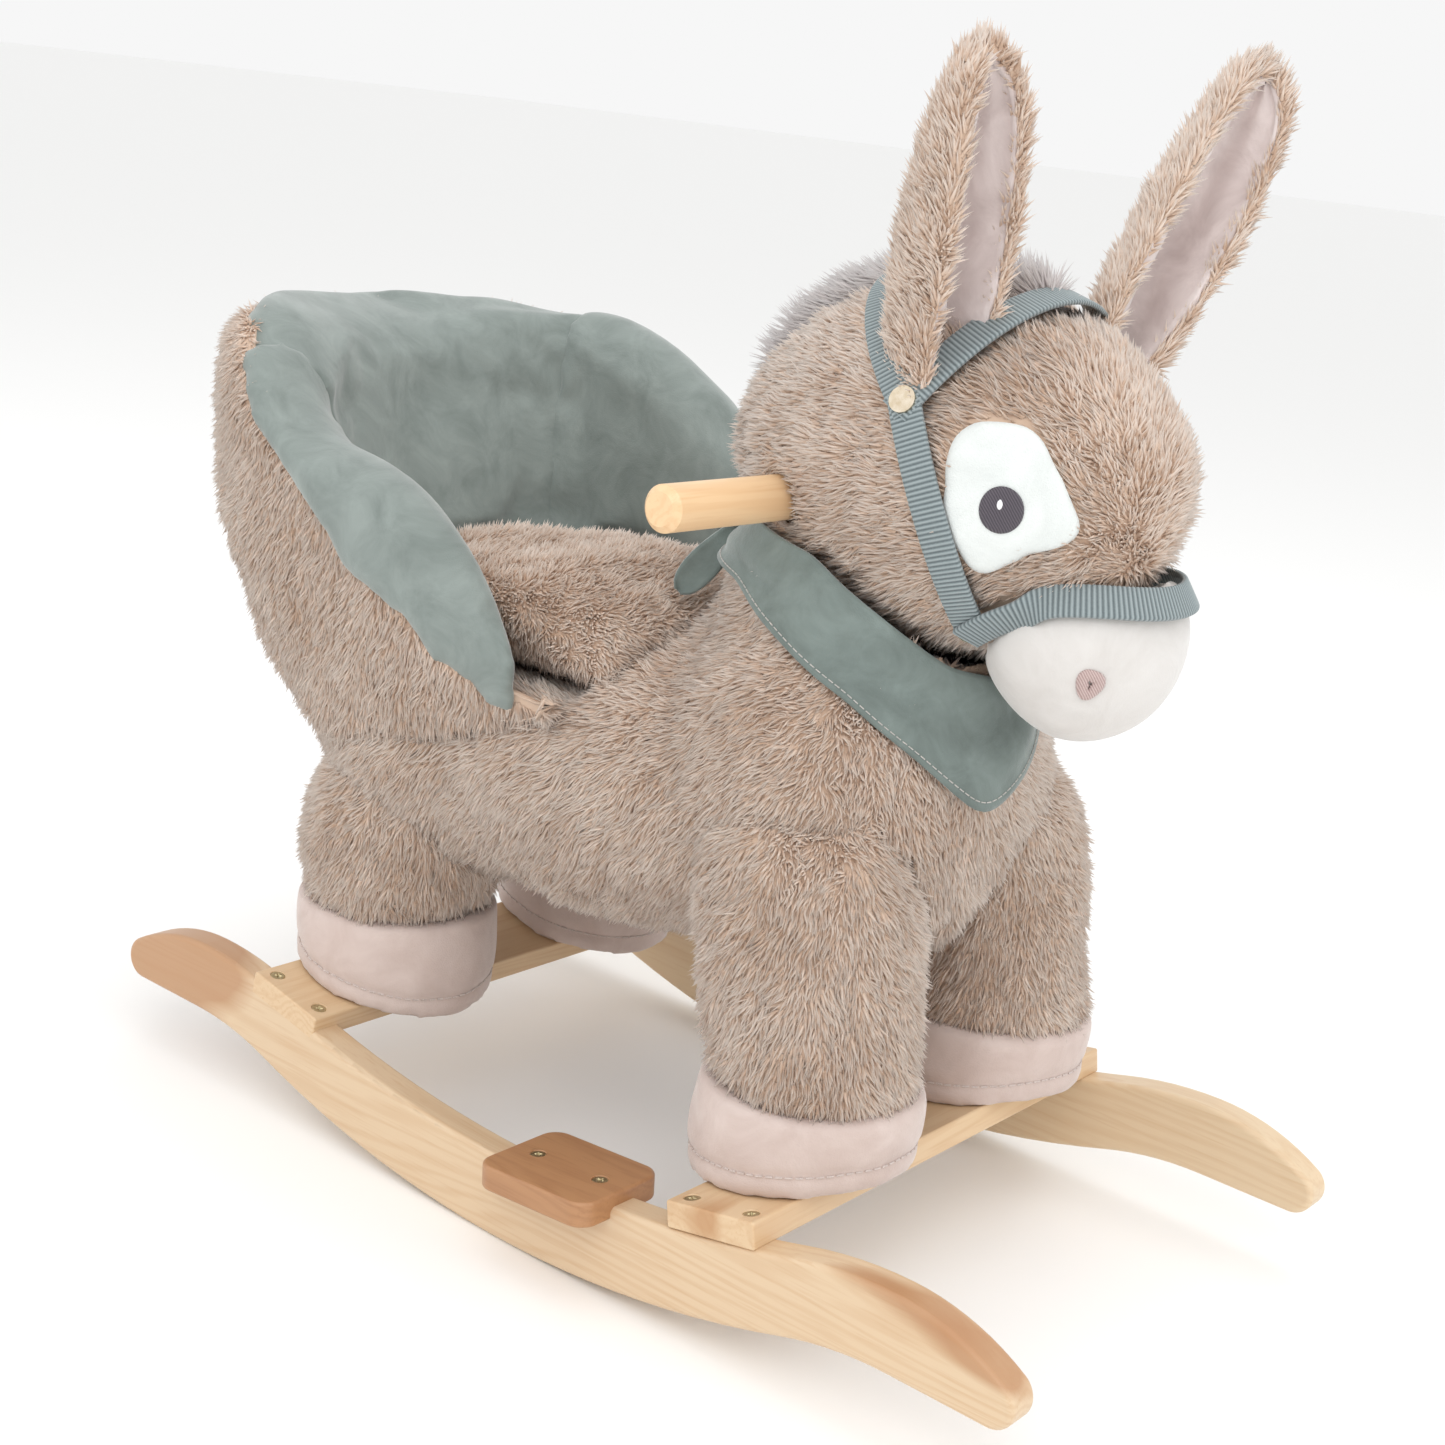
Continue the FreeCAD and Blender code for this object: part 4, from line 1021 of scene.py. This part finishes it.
# The patch's cut, in millimetres forward of and above the pupil, anticlockwise from the nose.
patch_cut = [(38, -6), (27, 9), (18, 24), (13, 36), (-3, 39), (-22, 35), (-27, 21), (-26, 7),
             (-21, -12), (-12, -27), (-4, -34), (4, -25), (14, -17), (29, -13)]
cut_turns = np.array([math.atan2(up, ahead) % math.tau for ahead, up in patch_cut])
cut_reach = np.array([math.hypot(ahead, up) for ahead, up in patch_cut])


def patch_edge(angle):
    """The patch's outline in one direction, in millimetres, its corners rounded."""
    near = [np.interp((angle + d) % math.tau, cut_turns, cut_reach, period=math.tau)
            for d in (-0.16, -0.08, 0, 0.08, 0.16)]
    reach = sum(near) / len(near)
    return reach * math.cos(angle), reach * math.sin(angle)


def under_trim(points):
    """Where trim covers the head, so no pile grows: 1 under it, 0 away from it."""
    bare = np.zeros(len(points))
    for middle, _ in straps.values():
        for spot in middle[::6]:
            away = np.linalg.norm(points - spot * MM, axis=1)
            bare = np.maximum(bare, np.clip((8.5 * MM - away) / (1.5 * MM), 0, 1))
    for side in (-1, 1):
        spot, forward, up = eye_frame(side)
        local = points / MM - spot
        angle = np.arctan2(local @ up, local @ forward)
        reach = np.hypot(local @ up, local @ forward)
        edge = np.array([math.hypot(*patch_edge(a)) for a in angle])
        near = (points[:, 1] * side > 0) & (np.linalg.norm(local, axis=1) < 56)
        bare = np.maximum(bare, np.where(near, np.clip((edge - 1.5 - reach) / 2, 0, 1), 0))
    return bare


def head_flow(points):
    """Away from the nose, over the brow and down the cheeks."""
    flow = points - np.array([0.235, 0.0, 0.345])
    flow /= np.linalg.norm(flow, axis=1)[:, None]
    flow[:, 2] -= 0.35
    return flow


head = skin_of("plush_head", "head", PILE, 0.004, 10)
points, normals = read(head)
pull = creased(points, [(40, 0, 462), (108, 0, 478), (170, 0, 462), (212, 0, 420)], 9 * MM, 2 * MM)
for side in (-1, 1):
    pull += creased(points, [(196, side * 52, 352), (182, side * 62, 362)], 10 * MM, 3 * MM)
write(head, points - normals * pull[:, None])
fill_unevenly(head, 0.05, 4 * MM, 15.0)
comb(head, head_flow, under_trim)
grow(head, taupe_plush, Seed=51, Lift=0.7)
ride(head, ["head"])

white_velour = velour("white_muzzle_velour", "cfcbc7", "dbd8d5", 0.5)
muzzle = skin_of("white_muzzle", "muzzle", 0.5 * MM, 0.003, 10)
points, normals = read(muzzle)
dimple = np.zeros(len(points))
for side in (-1, 1):
    away = np.linalg.norm(points - np.array([0.212, side * 0.037, 0.318]), axis=1)
    dimple += np.exp(-(away / (9 * MM)) ** 2) * 3 * MM
write(muzzle, points - normals * dimple[:, None])
fill_unevenly(muzzle, 0.035, 1.6 * MM, 19.0)
muzzle.data.materials.clear()
muzzle.data.materials.append(white_velour)
ride(muzzle, ["muzzle"])


# ----------------------------------------------------------------------------------- ears
# Each ear is a long leaf of plush folded lengthwise, lined with pale pink velour inside its
# fold. It is sewn upright behind the brow and opens forward.
def ear_grid(root, forward, outward, turn_in, side, inset, spread=1.0, ripple=0.0, rows=60,
             columns=37):
    """One face of the folded ear. inset moves it towards the fold's inside, in millimetres."""
    lean = (Matrix.Rotation(math.radians(-side * outward), 3, "X")
            @ Matrix.Rotation(math.radians(forward), 3, "Y")
            @ Matrix.Rotation(math.radians(-side * turn_in), 3, "Z"))
    length = 150 - inset
    grid = np.empty((rows, columns, 3))
    for row in range(rows):
        t = row / (rows - 1)
        end = math.sqrt(max(1 - t ** 12, 0))
        half = np.interp(t, [0, 0.2, 0.5, 0.8, 1], [21, 25, 26, 24, 22]) * end
        deep = np.interp(t, [0, 0.3, 0.6, 0.85, 1], [38, 44, 40, 32, 27]) * end
        for column in range(columns):
            a = (column / (columns - 1) * 2 - 1) * math.radians(88) * spread
            here = inset + ripple * math.sin(6 * a + 3 * t)
            across = max(half - here, 0.4) * math.sin(a)
            depth = deep * 0.5 - max(deep - here, 0.4) * math.cos(a)
            grid[row, column] = np.array(root) + lean @ Vector((depth, across, t * length))
    return grid, np.array(lean @ Vector((0, 0, 1)))


rose_velour = velour("pale_rose_velour", "c6b8b5", "e9dedb", 0.5)
ears = {"right": ((115, -54, 436), 12, 14, -8), "left": ((144, 54, 450), 13, 19, 24)}
for side_name, (root, forward, outward, turn_in) in ears.items():
    side = -1 if side_name == "right" else 1
    front, axis = ear_grid(root, forward, outward, turn_in, side, 8)
    behind, axis = ear_grid(root, forward, outward, turn_in, side, 3.5)
    ear = shell(f"{side_name}_ear", behind, front)
    fill_unevenly(ear, 0.03, 2 * MM, side * 4.0)
    smooth = ear.modifiers.new("relax", "SMOOTH")
    smooth.factor = 0.5
    smooth.iterations = 3
    settle(ear)
    inner = np.ones(60 * 37 * 2)
    columns = np.tile(np.arange(37), 60)
    rows = np.repeat(np.arange(60), 37)
    inner[:60 * 37] = 0
    inner[60 * 37:] = np.where((columns < 2) | (columns > 34) | (rows > 57), 0, 1)
    comb(ear, lambda points: np.tile(axis, (len(points), 1)) + [0, 0, 0.2],
         lambda points: inner)
    grow(ear, taupe_plush, Seed=60 + side, Lift=0.75)
    ride(ear, [f"ear_{side_name}"])
    # The lining's cloth is a little too wide for the fold, so it lies in lengthwise folds.
    lining_front, _ = ear_grid(root, forward, outward, turn_in, side, 11, 0.97, 1.3)
    lining_back, _ = ear_grid(root, forward, outward, turn_in, side, 7.6, 0.97, 1.3)
    lining = shell(f"{side_name}_ear_lining", lining_back, lining_front)
    fill_unevenly(lining, 0.022, 1.5 * MM, side * 7.0)
    lining.data.materials.append(rose_velour)
    ride(lining, [f"ear_lining_{side_name}"])

# ------------------------------------------------------------------------- mane and tail
# A strip of longer lilac-grey plush sewn over the crown and down the back of the neck, and a
# plush-covered tail that ends in a tuft of the same.
crest = []
for angle in np.linspace(66, 166, 44):
    toward = np.array([math.cos(math.radians(angle)), 0, math.sin(math.radians(angle))])
    spot, normal, _ = on_egg(HEAD, HEAD_HALF, toward)
    ring = []
    for turn_angle in np.linspace(0, math.tau, 17)[:-1]:
        ring.append(spot - normal * 5 + normal * 8 * math.sin(turn_angle)
                    + np.array([0, 9 * math.cos(turn_angle), 0]))
    crest.append(ring)
crest = np.array(crest)
crest[0] = crest[0].mean(0) + (crest[0] - crest[0].mean(0)) * 0.2
crest[-1] = crest[-1].mean(0) + (crest[-1] - crest[-1].mean(0)) * 0.2


def closed_tube(name, rings):
    """A closed tube through rings of points, its ends shut."""
    count, around = rings.shape[:2]
    faces = []
    for row in range(count - 1):
        for step in range(around):
            after = (step + 1) % around
            faces.append((row * around + step, row * around + after,
                          (row + 1) * around + after, (row + 1) * around + step))
    faces.append(tuple(range(around))[::-1])
    faces.append(tuple((count - 1) * around + step for step in range(around)))
    piece = new_piece(name, rings.reshape(-1, 3), faces)
    face_outwards(piece)
    return piece


mane = closed_tube("grey_mane", crest)
comb(mane, lambda points: np.tile([-0.9, 0.0, 0.15], (len(points), 1)))
grow(mane, grey_plush, Seed=71, Lift=1.1, Tuft_length=0.013, Tuft_radius=0.0008,
     Tufts_per_square_metre=520000.0)
ride(mane, ["mane"])

low_box, high_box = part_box("tail")
tail_rings = []
tail_run = np.linspace(0, 1, 24)
tail_foot = np.array([low_box.x + 0.036, 0, low_box.z + 0.024]) / MM
tail_top = np.array([low_box.x + 0.014, 0, high_box.z - 0.006]) / MM
for t in tail_run:
    spot = tail_foot + (tail_top - tail_foot) * t
    radius = 5 + 6 * math.exp(-((t - 0.05) / 0.2) ** 2)
    tail_rings.append([spot + radius * np.array([math.cos(a), math.sin(a), 0])
                       for a in np.linspace(0, math.tau, 15)[:-1]])
tail = closed_tube("grey_tail", np.array(tail_rings))
comb(tail, lambda points: np.tile([0.1, 0.0, -1.0], (len(points), 1)))
grow(tail, grey_plush, Seed=81, Lift=0.5, Tuft_length=0.013, Tufts_per_square_metre=420000.0)
ride(tail, ["tail"])


# -------------------------------------------------------------------------- eyes and nostrils
# Each eye is a patch of white short-pile felt with a dark satin-stitched pupil and a glint.
# Each nostril is a small pink satin-stitched ring pulled into the muzzle.
def patch_grid(side, scale, lift, rings=14, around=72):
    """Points over the eye patch on the head, from its middle to its edge."""
    spot, forward, up = eye_frame(side)
    grid = np.empty((rings, around, 3))
    for ring in range(rings):
        share = (ring + 0.02) / (rings - 1 + 0.02)
        for step in range(around):
            across, high = patch_edge(math.tau * step / around)
            flat = spot + (forward * across + up * high) * share * scale
            hit, normal, _ = on_egg(HEAD, HEAD_HALF, flat - HEAD)
            edge = 1 - max(share - 0.86, 0) / 0.14
            grid[ring, step] = hit + normal * (lift * (0.25 + 0.75 * math.sqrt(edge)) - 1.2)
    return grid


def closed_cap(name, grid, depth):
    """A closed, low cap over rings of points, sunk to depth at its rim."""
    rings, around = grid.shape[:2]
    middle = grid[0].mean(0)
    inward = HEAD - grid[-1]
    inward /= np.linalg.norm(inward, axis=1)[:, None]
    skirt = grid[-1] + inward * depth
    points = np.concatenate([grid.reshape(-1, 3), skirt, [middle, skirt.mean(0)]])
    faces = []
    for row in range(rings):
        for step in range(around):
            after = (step + 1) % around
            faces.append((row * around + step, row * around + after,
                          (row + 1) * around + after, (row + 1) * around + step))
    for step in range(around):
        after = (step + 1) % around
        faces.append((len(points) - 2, after, step))
        faces.append((len(points) - 1, rings * around + step, rings * around + after))
    piece = new_piece(name, points, faces)
    face_outwards(piece)
    return piece


white_felt = velour("white_short_pile_felt", "d6dad8", "e5e9e7", 1.6)


def satin_stitch(name, dark, light, pitch):
    """Satin-stitched embroidery: parallel shiny threads, pitch millimetres apart. The colour runs
    from dark, painted shade between the threads, to light, painted highlight along each thread's
    crest.
    """
    material, tree, shader = finish_material(name, {"Roughness": 0.45, "Sheen Weight": 0.3,
                                                    "Specular IOR Level": 0.4})
    place = add(tree, "ShaderNodeTexCoord").outputs["Object"]
    rows = add(tree, "ShaderNodeTexWave", {"Vector": place, "Scale": 0.314 / (pitch * MM),
                                           "Distortion": 1.0, "Detail": 1.0},
               bands_direction="DIAGONAL")
    # Painted shade and highlight: the two colours follow the thread rows, dark in the grooves and
    # light on the crests.
    tone = add(tree, "ShaderNodeMix", {"Factor": rows.outputs["Fac"], 6: paint(dark),
                                       7: paint(light)}, data_type="RGBA")
    tree.links.new(tone.outputs[2], shader.inputs["Base Color"])
    ridge = add(tree, "ShaderNodeBump", {"Height": rows.outputs["Fac"], "Strength": 0.6,
                                         "Distance": 0.0003})
    tree.links.new(ridge.outputs[0], shader.inputs["Normal"])
    return material


# The threads are 0.4 mm wide, drawn 0.9 mm wide so that they show.
# For each thread, the first colour is the painted shade between threads and the second is the
# painted highlight on their crests.
dark_thread = satin_stitch("dark_plum_thread", "3a343c", "5b545d", 0.9)
rose_thread = satin_stitch("rose_thread", "a58a86", "c9b4b0", 0.9)
white_thread = satin_stitch("white_thread", "e9e9ee", "ffffff", 0.9)
for side_name, side in (("right", -1), ("left", 1)):
    patch = closed_cap(f"{side_name}_eye_patch", patch_grid(side, 1.0, 2.0), 7)
    fill_unevenly(patch, 0.012, 0.7 * MM, side * 9.0)
    patch.data.materials.append(white_felt)
    ride(patch, [f"eye_patch_{side_name}"])
    spot, forward, up = eye_frame(side)
    for label, offset, radius, tall, lift, thread in (
            ("pupil", (-0.8, 0.2), 9.4, 1.06, 2.3, dark_thread),
            ("glint", (-1.8, 2.6), 1.2, 1.8, 3.0, white_thread)):
        rings = []
        for share in np.linspace(0.02, 1, 8):
            ring = []
            for step in range(40):
                angle = math.tau * step / 40
                pointed = 1 - 0.45 * max(math.sin(angle), 0) ** 3 if label == "glint" else 1
                flat = (spot + forward * (offset[0] + radius * share * math.cos(angle) * pointed)
                        + up * (offset[1] + radius * tall * share * math.sin(angle)))
                hit, normal, _ = on_egg(HEAD, HEAD_HALF, flat - HEAD)
                ring.append(hit + normal * (lift - 1.0 + 0.7 * math.sqrt(1 - share ** 2)))
            rings.append(ring)
        disc = closed_cap(f"{side_name}_{label}", np.array(rings), 3)
        disc.data.materials.append(thread)
        if label == "pupil":
            ride(disc, [f"pupil_{side_name}"])
        else:
            ride(disc)

nostril_rings = []
for side_name, side in (("right", -1), ("left", 1)):
    toward = np.array([212.0, side * 37.0, 318.0]) - MUZZLE
    spot, normal, _ = on_egg(MUZZLE, MUZZLE_HALF, toward)
    up = np.array([0.0, 0.0, 1.0]) - normal * normal[2]
    up /= np.linalg.norm(up)
    sidewise = np.cross(up, normal)
    rings = []
    for step in range(40):
        angle = math.tau * step / 40
        lobe = 1 + 0.14 * math.sin(angle * 3 + 0.6)
        middle = spot - normal * 2.2 + (sidewise * 3.4 * math.cos(angle)
                                        + up * 4.4 * math.sin(angle)) * lobe
        outward = sidewise * math.cos(angle) + up * math.sin(angle)
        rings.append([middle + outward * 3.0 * math.cos(b) + normal * 1.7 * math.sin(b)
                      for b in np.linspace(0, math.tau, 11)[:-1]])
    ring_grid = np.array(rings)
    count, around = ring_grid.shape[:2]
    faces = []
    for row in range(count):
        for step in range(around):
            nxt, after = (row + 1) % count, (step + 1) % around
            faces.append((row * around + step, row * around + after, nxt * around + after,
                          nxt * around + step))
    nostril = new_piece(f"{side_name}_nostril", ring_grid.reshape(-1, 3), faces)
    face_outwards(nostril)
    nostril.data.materials.append(rose_thread)
    nostril_rings.append(nostril)
ride(nostril_rings[0], ["nostrils"])
ride(nostril_rings[1])

# ------------------------------------------------------------------------------- bridle
# Five straps of 15 mm ribbed polyester webbing, grey with a teal cast, held at the temples and
# cheeks by four tubular rivets. The ribs run across the strap every 2.1 mm.
webbing, tree, shader = finish_material("grey_teal_ribbed_webbing", {
    "Roughness": 0.6, "Sheen Weight": 0.2, "Specular IOR Level": 0.35})
place = add(tree, "ShaderNodeTexCoord").outputs["Object"]
# Painted shade: the colour follows the rib wave, dark grey-teal in the grooves between the ribs and
# pale on their crests.
rib = add(tree, "ShaderNodeAttribute", attribute_name="rib")
speck = add(tree, "ShaderNodeTexNoise", {"Vector": place, "Scale": 1100.0, "Detail": 2.0})
blend = add(tree, "ShaderNodeMath", {0: speck.outputs["Fac"], 1: 0.3, 2: rib.outputs["Fac"]},
            operation="MULTIPLY_ADD")
ribbed = add(tree, "ShaderNodeMapRange", {"Value": blend.outputs[0], "From Min": 0.1,
                                          "From Max": 1.1})
tone = add(tree, "ShaderNodeMix", {"Factor": ribbed.outputs[0], 6: paint("566164"),
                                   7: paint("98a3a5")}, data_type="RGBA")
tree.links.new(tone.outputs[2], shader.inputs["Base Color"])
threads = add(tree, "ShaderNodeBump", {"Height": speck.outputs["Fac"], "Strength": 0.4,
                                       "Distance": 0.0003})
tree.links.new(threads.outputs[0], shader.inputs["Normal"])

for strap_name, (middle, normal) in straps.items():
    run = np.concatenate([[0], np.cumsum(np.linalg.norm(np.diff(middle, axis=0), axis=1))])
    even = np.arange(0, run[-1], 2.1 / 6)
    line = np.stack([np.interp(even, run, middle[:, k]) for k in range(3)], axis=1)
    face_up = np.stack([np.interp(even, run, normal[:, k]) for k in range(3)], axis=1)
    face_up /= np.linalg.norm(face_up, axis=1)[:, None]
    ahead = np.gradient(line, axis=0)
    ahead /= np.linalg.norm(ahead, axis=1)[:, None]
    sidewise = np.cross(face_up, ahead)
    sidewise /= np.linalg.norm(sidewise, axis=1)[:, None]
    wave_height = 0.5 + 0.5 * np.cos(even / 2.1 * math.tau)
    lift = {"bridle_noseband": 3.4}.get(strap_name, 0.8 if "cheek" in strap_name else 1.4)
    profile = [(-7.5, -0.2), (-7.3, 1.1), (-6.6, 1.55), (-3.3, 1.6), (0, 1.6), (3.3, 1.6),
               (6.6, 1.55), (7.3, 1.1), (7.5, -0.2), (3.5, -0.4), (-3.5, -0.4)]
    rings = np.stack([line + sidewise * across
                      + face_up * (high + lift
                                   + (0.45 * wave_height if high > 1 else 0))[:, None]
                      if high > 1 else line + sidewise * across + face_up * (high + lift)
                      for across, high in profile], axis=1)
    strap = closed_tube(strap_name + "_webbing", rings)
    ribs = np.repeat(wave_height, len(profile))
    strap.data.attributes.new("rib", "FLOAT", "POINT").data.foreach_set("value", ribs)
    strap.data.materials.append(webbing)
    ride(strap, [strap_name])

# Nickel-plated brass, pressed and tumbled: bright, warm, with faint clouding.
nickel, tree, shader = finish_material("nickel_plated_brass", {"Metallic": 1.0,
                                                               "Roughness": 0.22})
place = add(tree, "ShaderNodeTexCoord").outputs["Object"]
cloud = add(tree, "ShaderNodeTexNoise", {"Vector": place, "Scale": 260.0, "Detail": 2.0})
tone = add(tree, "ShaderNodeMix", {"Factor": cloud.outputs["Fac"], 6: paint("b9a27c"),
                                   7: paint("efe6d6")}, data_type="RGBA")
tree.links.new(tone.outputs[2], shader.inputs["Base Color"])
give("bridle_rivets", nickel)

# --------------------------------------------------------------------------- neckerchief
# One folded triangle of sage suede cloth, its long edge round the neck under the head, its point
# down on the chest, and its two ends knotted behind the neck. The hem is turned in and stitched.
neck_form = bmesh.new()
neck_form.from_mesh(nodes["torso"].data)
neck_tree = BVHTree.FromBMesh(neck_form)
neck_form.free()
top_edge = np.array([(-180, 352), (-120, 356), (-90, 350), (-60, 330), (-30, 308), (0, 300),
                     (30, 308), (60, 330), (90, 350), (120, 356), (180, 352)], float)
low_edge = np.array([(-180, 336), (-120, 328), (-90, 312), (-60, 291), (-35, 267), (-13, 240),
                     (10, 262), (40, 288), (70, 308), (120, 330), (180, 336)], float)
scarf_columns, scarf_rows = 161, 22
scarf = np.empty((scarf_columns, scarf_rows, 3))
for column in range(scarf_columns):
    degrees = -180 + 360 * column / (scarf_columns - 1)
    upper = np.interp(degrees, top_edge[:, 0], top_edge[:, 1])
    lower = np.interp(degrees, low_edge[:, 0], low_edge[:, 1])
    aim = Vector((math.cos(math.radians(degrees)), math.sin(math.radians(degrees)), 0))
    for row in range(scarf_rows):
        share = row / (scarf_rows - 1)
        z = upper + (lower - upper) * share
        axis_x = 58 + math.tan(math.radians(14)) * (z - 244)
        start = Vector((axis_x, 0, z)) * MM
        far = 70.0
        hit = neck_tree.ray_cast(start, aim)
        while hit[0] is not None and hit[3] > 0:
            far = (hit[0] - start).length / MM
            beyond = neck_tree.ray_cast(hit[0] + aim * 0.0005, aim)
            if beyond[0] is None or (beyond[0] - start).length > 0.13:
                break
            hit = beyond
        wave_out = 2.6 * math.sin(math.radians(degrees * 5) + share * 2.2) * share
        wave_out += 1.3 * math.sin(share * 12 + math.radians(degrees) * 2)
        far = min(far, 112) + 3.5 + wave_out
        scarf[column, row] = np.array((axis_x, 0, z)) + np.array(aim) * far
for _ in range(5):
    inner_part = (scarf[:-2] + scarf[2:] + scarf[1:-1] * 2) / 4
    scarf[1:-1] = inner_part
    scarf[:, 1:-1] = (scarf[:, :-2] + scarf[:, 2:] + scarf[:, 1:-1] * 2) / 4
scarf[-1] = scarf[0]
scarf_normals = grid_normals(scarf)
away = scarf - np.array([70.0, 0, 300.0])
if np.sum(scarf_normals * away) < 0:
    scarf_normals = -scarf_normals
neckerchief = shell("sage_neckerchief", scarf + scarf_normals * 0.6, scarf - scarf_normals * 0.6)
dark_suede = velour("dark_sage_suede_cloth", "68726e", "838f8b", 0.8)
neckerchief.data.materials.append(dark_suede)
ride(neckerchief, ["neckerchief"])
hem_line = (scarf[:, -3] * 0.5 + scarf[:, -2] * 0.5 + scarf_normals[:, -3] * 0.8) * MM
sage_cotton = cotton("sage_sewing_thread", "6f7a76")
hem_stitches = sewn("neckerchief_hem_stitches", [hem_line], sage_cotton, Thread_radius=0.0003,
                    Stitch_pitch=0.0036, Stitch_length=0.0026)
ride(hem_stitches)

knot = skin_of("neckerchief_tie", "neckerchief_knot", 0.2 * MM, 0.002, 6)
knot.data.materials.clear()
knot.data.materials.append(dark_suede)
ride(knot, ["neckerchief_knot"])

# One end of the cloth hangs out of the knot as a short pointed leaf.
leaf_top = np.array([2.0, -24.0, 340.0])
leaf_end = np.array([-14.0, -44.0, 308.0])
leaf_side = np.array([0.73, 0.35, -0.59])
leaf_out = np.cross(leaf_end - leaf_top, leaf_side)
leaf_out /= np.linalg.norm(leaf_out)
leaf = np.empty((16, 9, 3))
for row, t in enumerate(np.linspace(0, 1, 16)):
    wide = 9 * (0.55 + 0.9 * t - 0.35 * t * t) * math.sqrt(1 - 0.97 * t ** 4)
    for column, w in enumerate(np.linspace(-1, 1, 9)):
        leaf[row, column] = (leaf_top + (leaf_end - leaf_top) * t + leaf_side * wide * w
                             + leaf_out * (4 * math.sin(t * math.pi) + 2 * w * w))
leaf_normals = grid_normals(leaf)
knot_leaf = shell("neckerchief_knot_end", leaf + leaf_normals * 0.7, leaf - leaf_normals * 0.7)
knot_leaf.data.materials.append(dark_suede)
ride(knot_leaf)
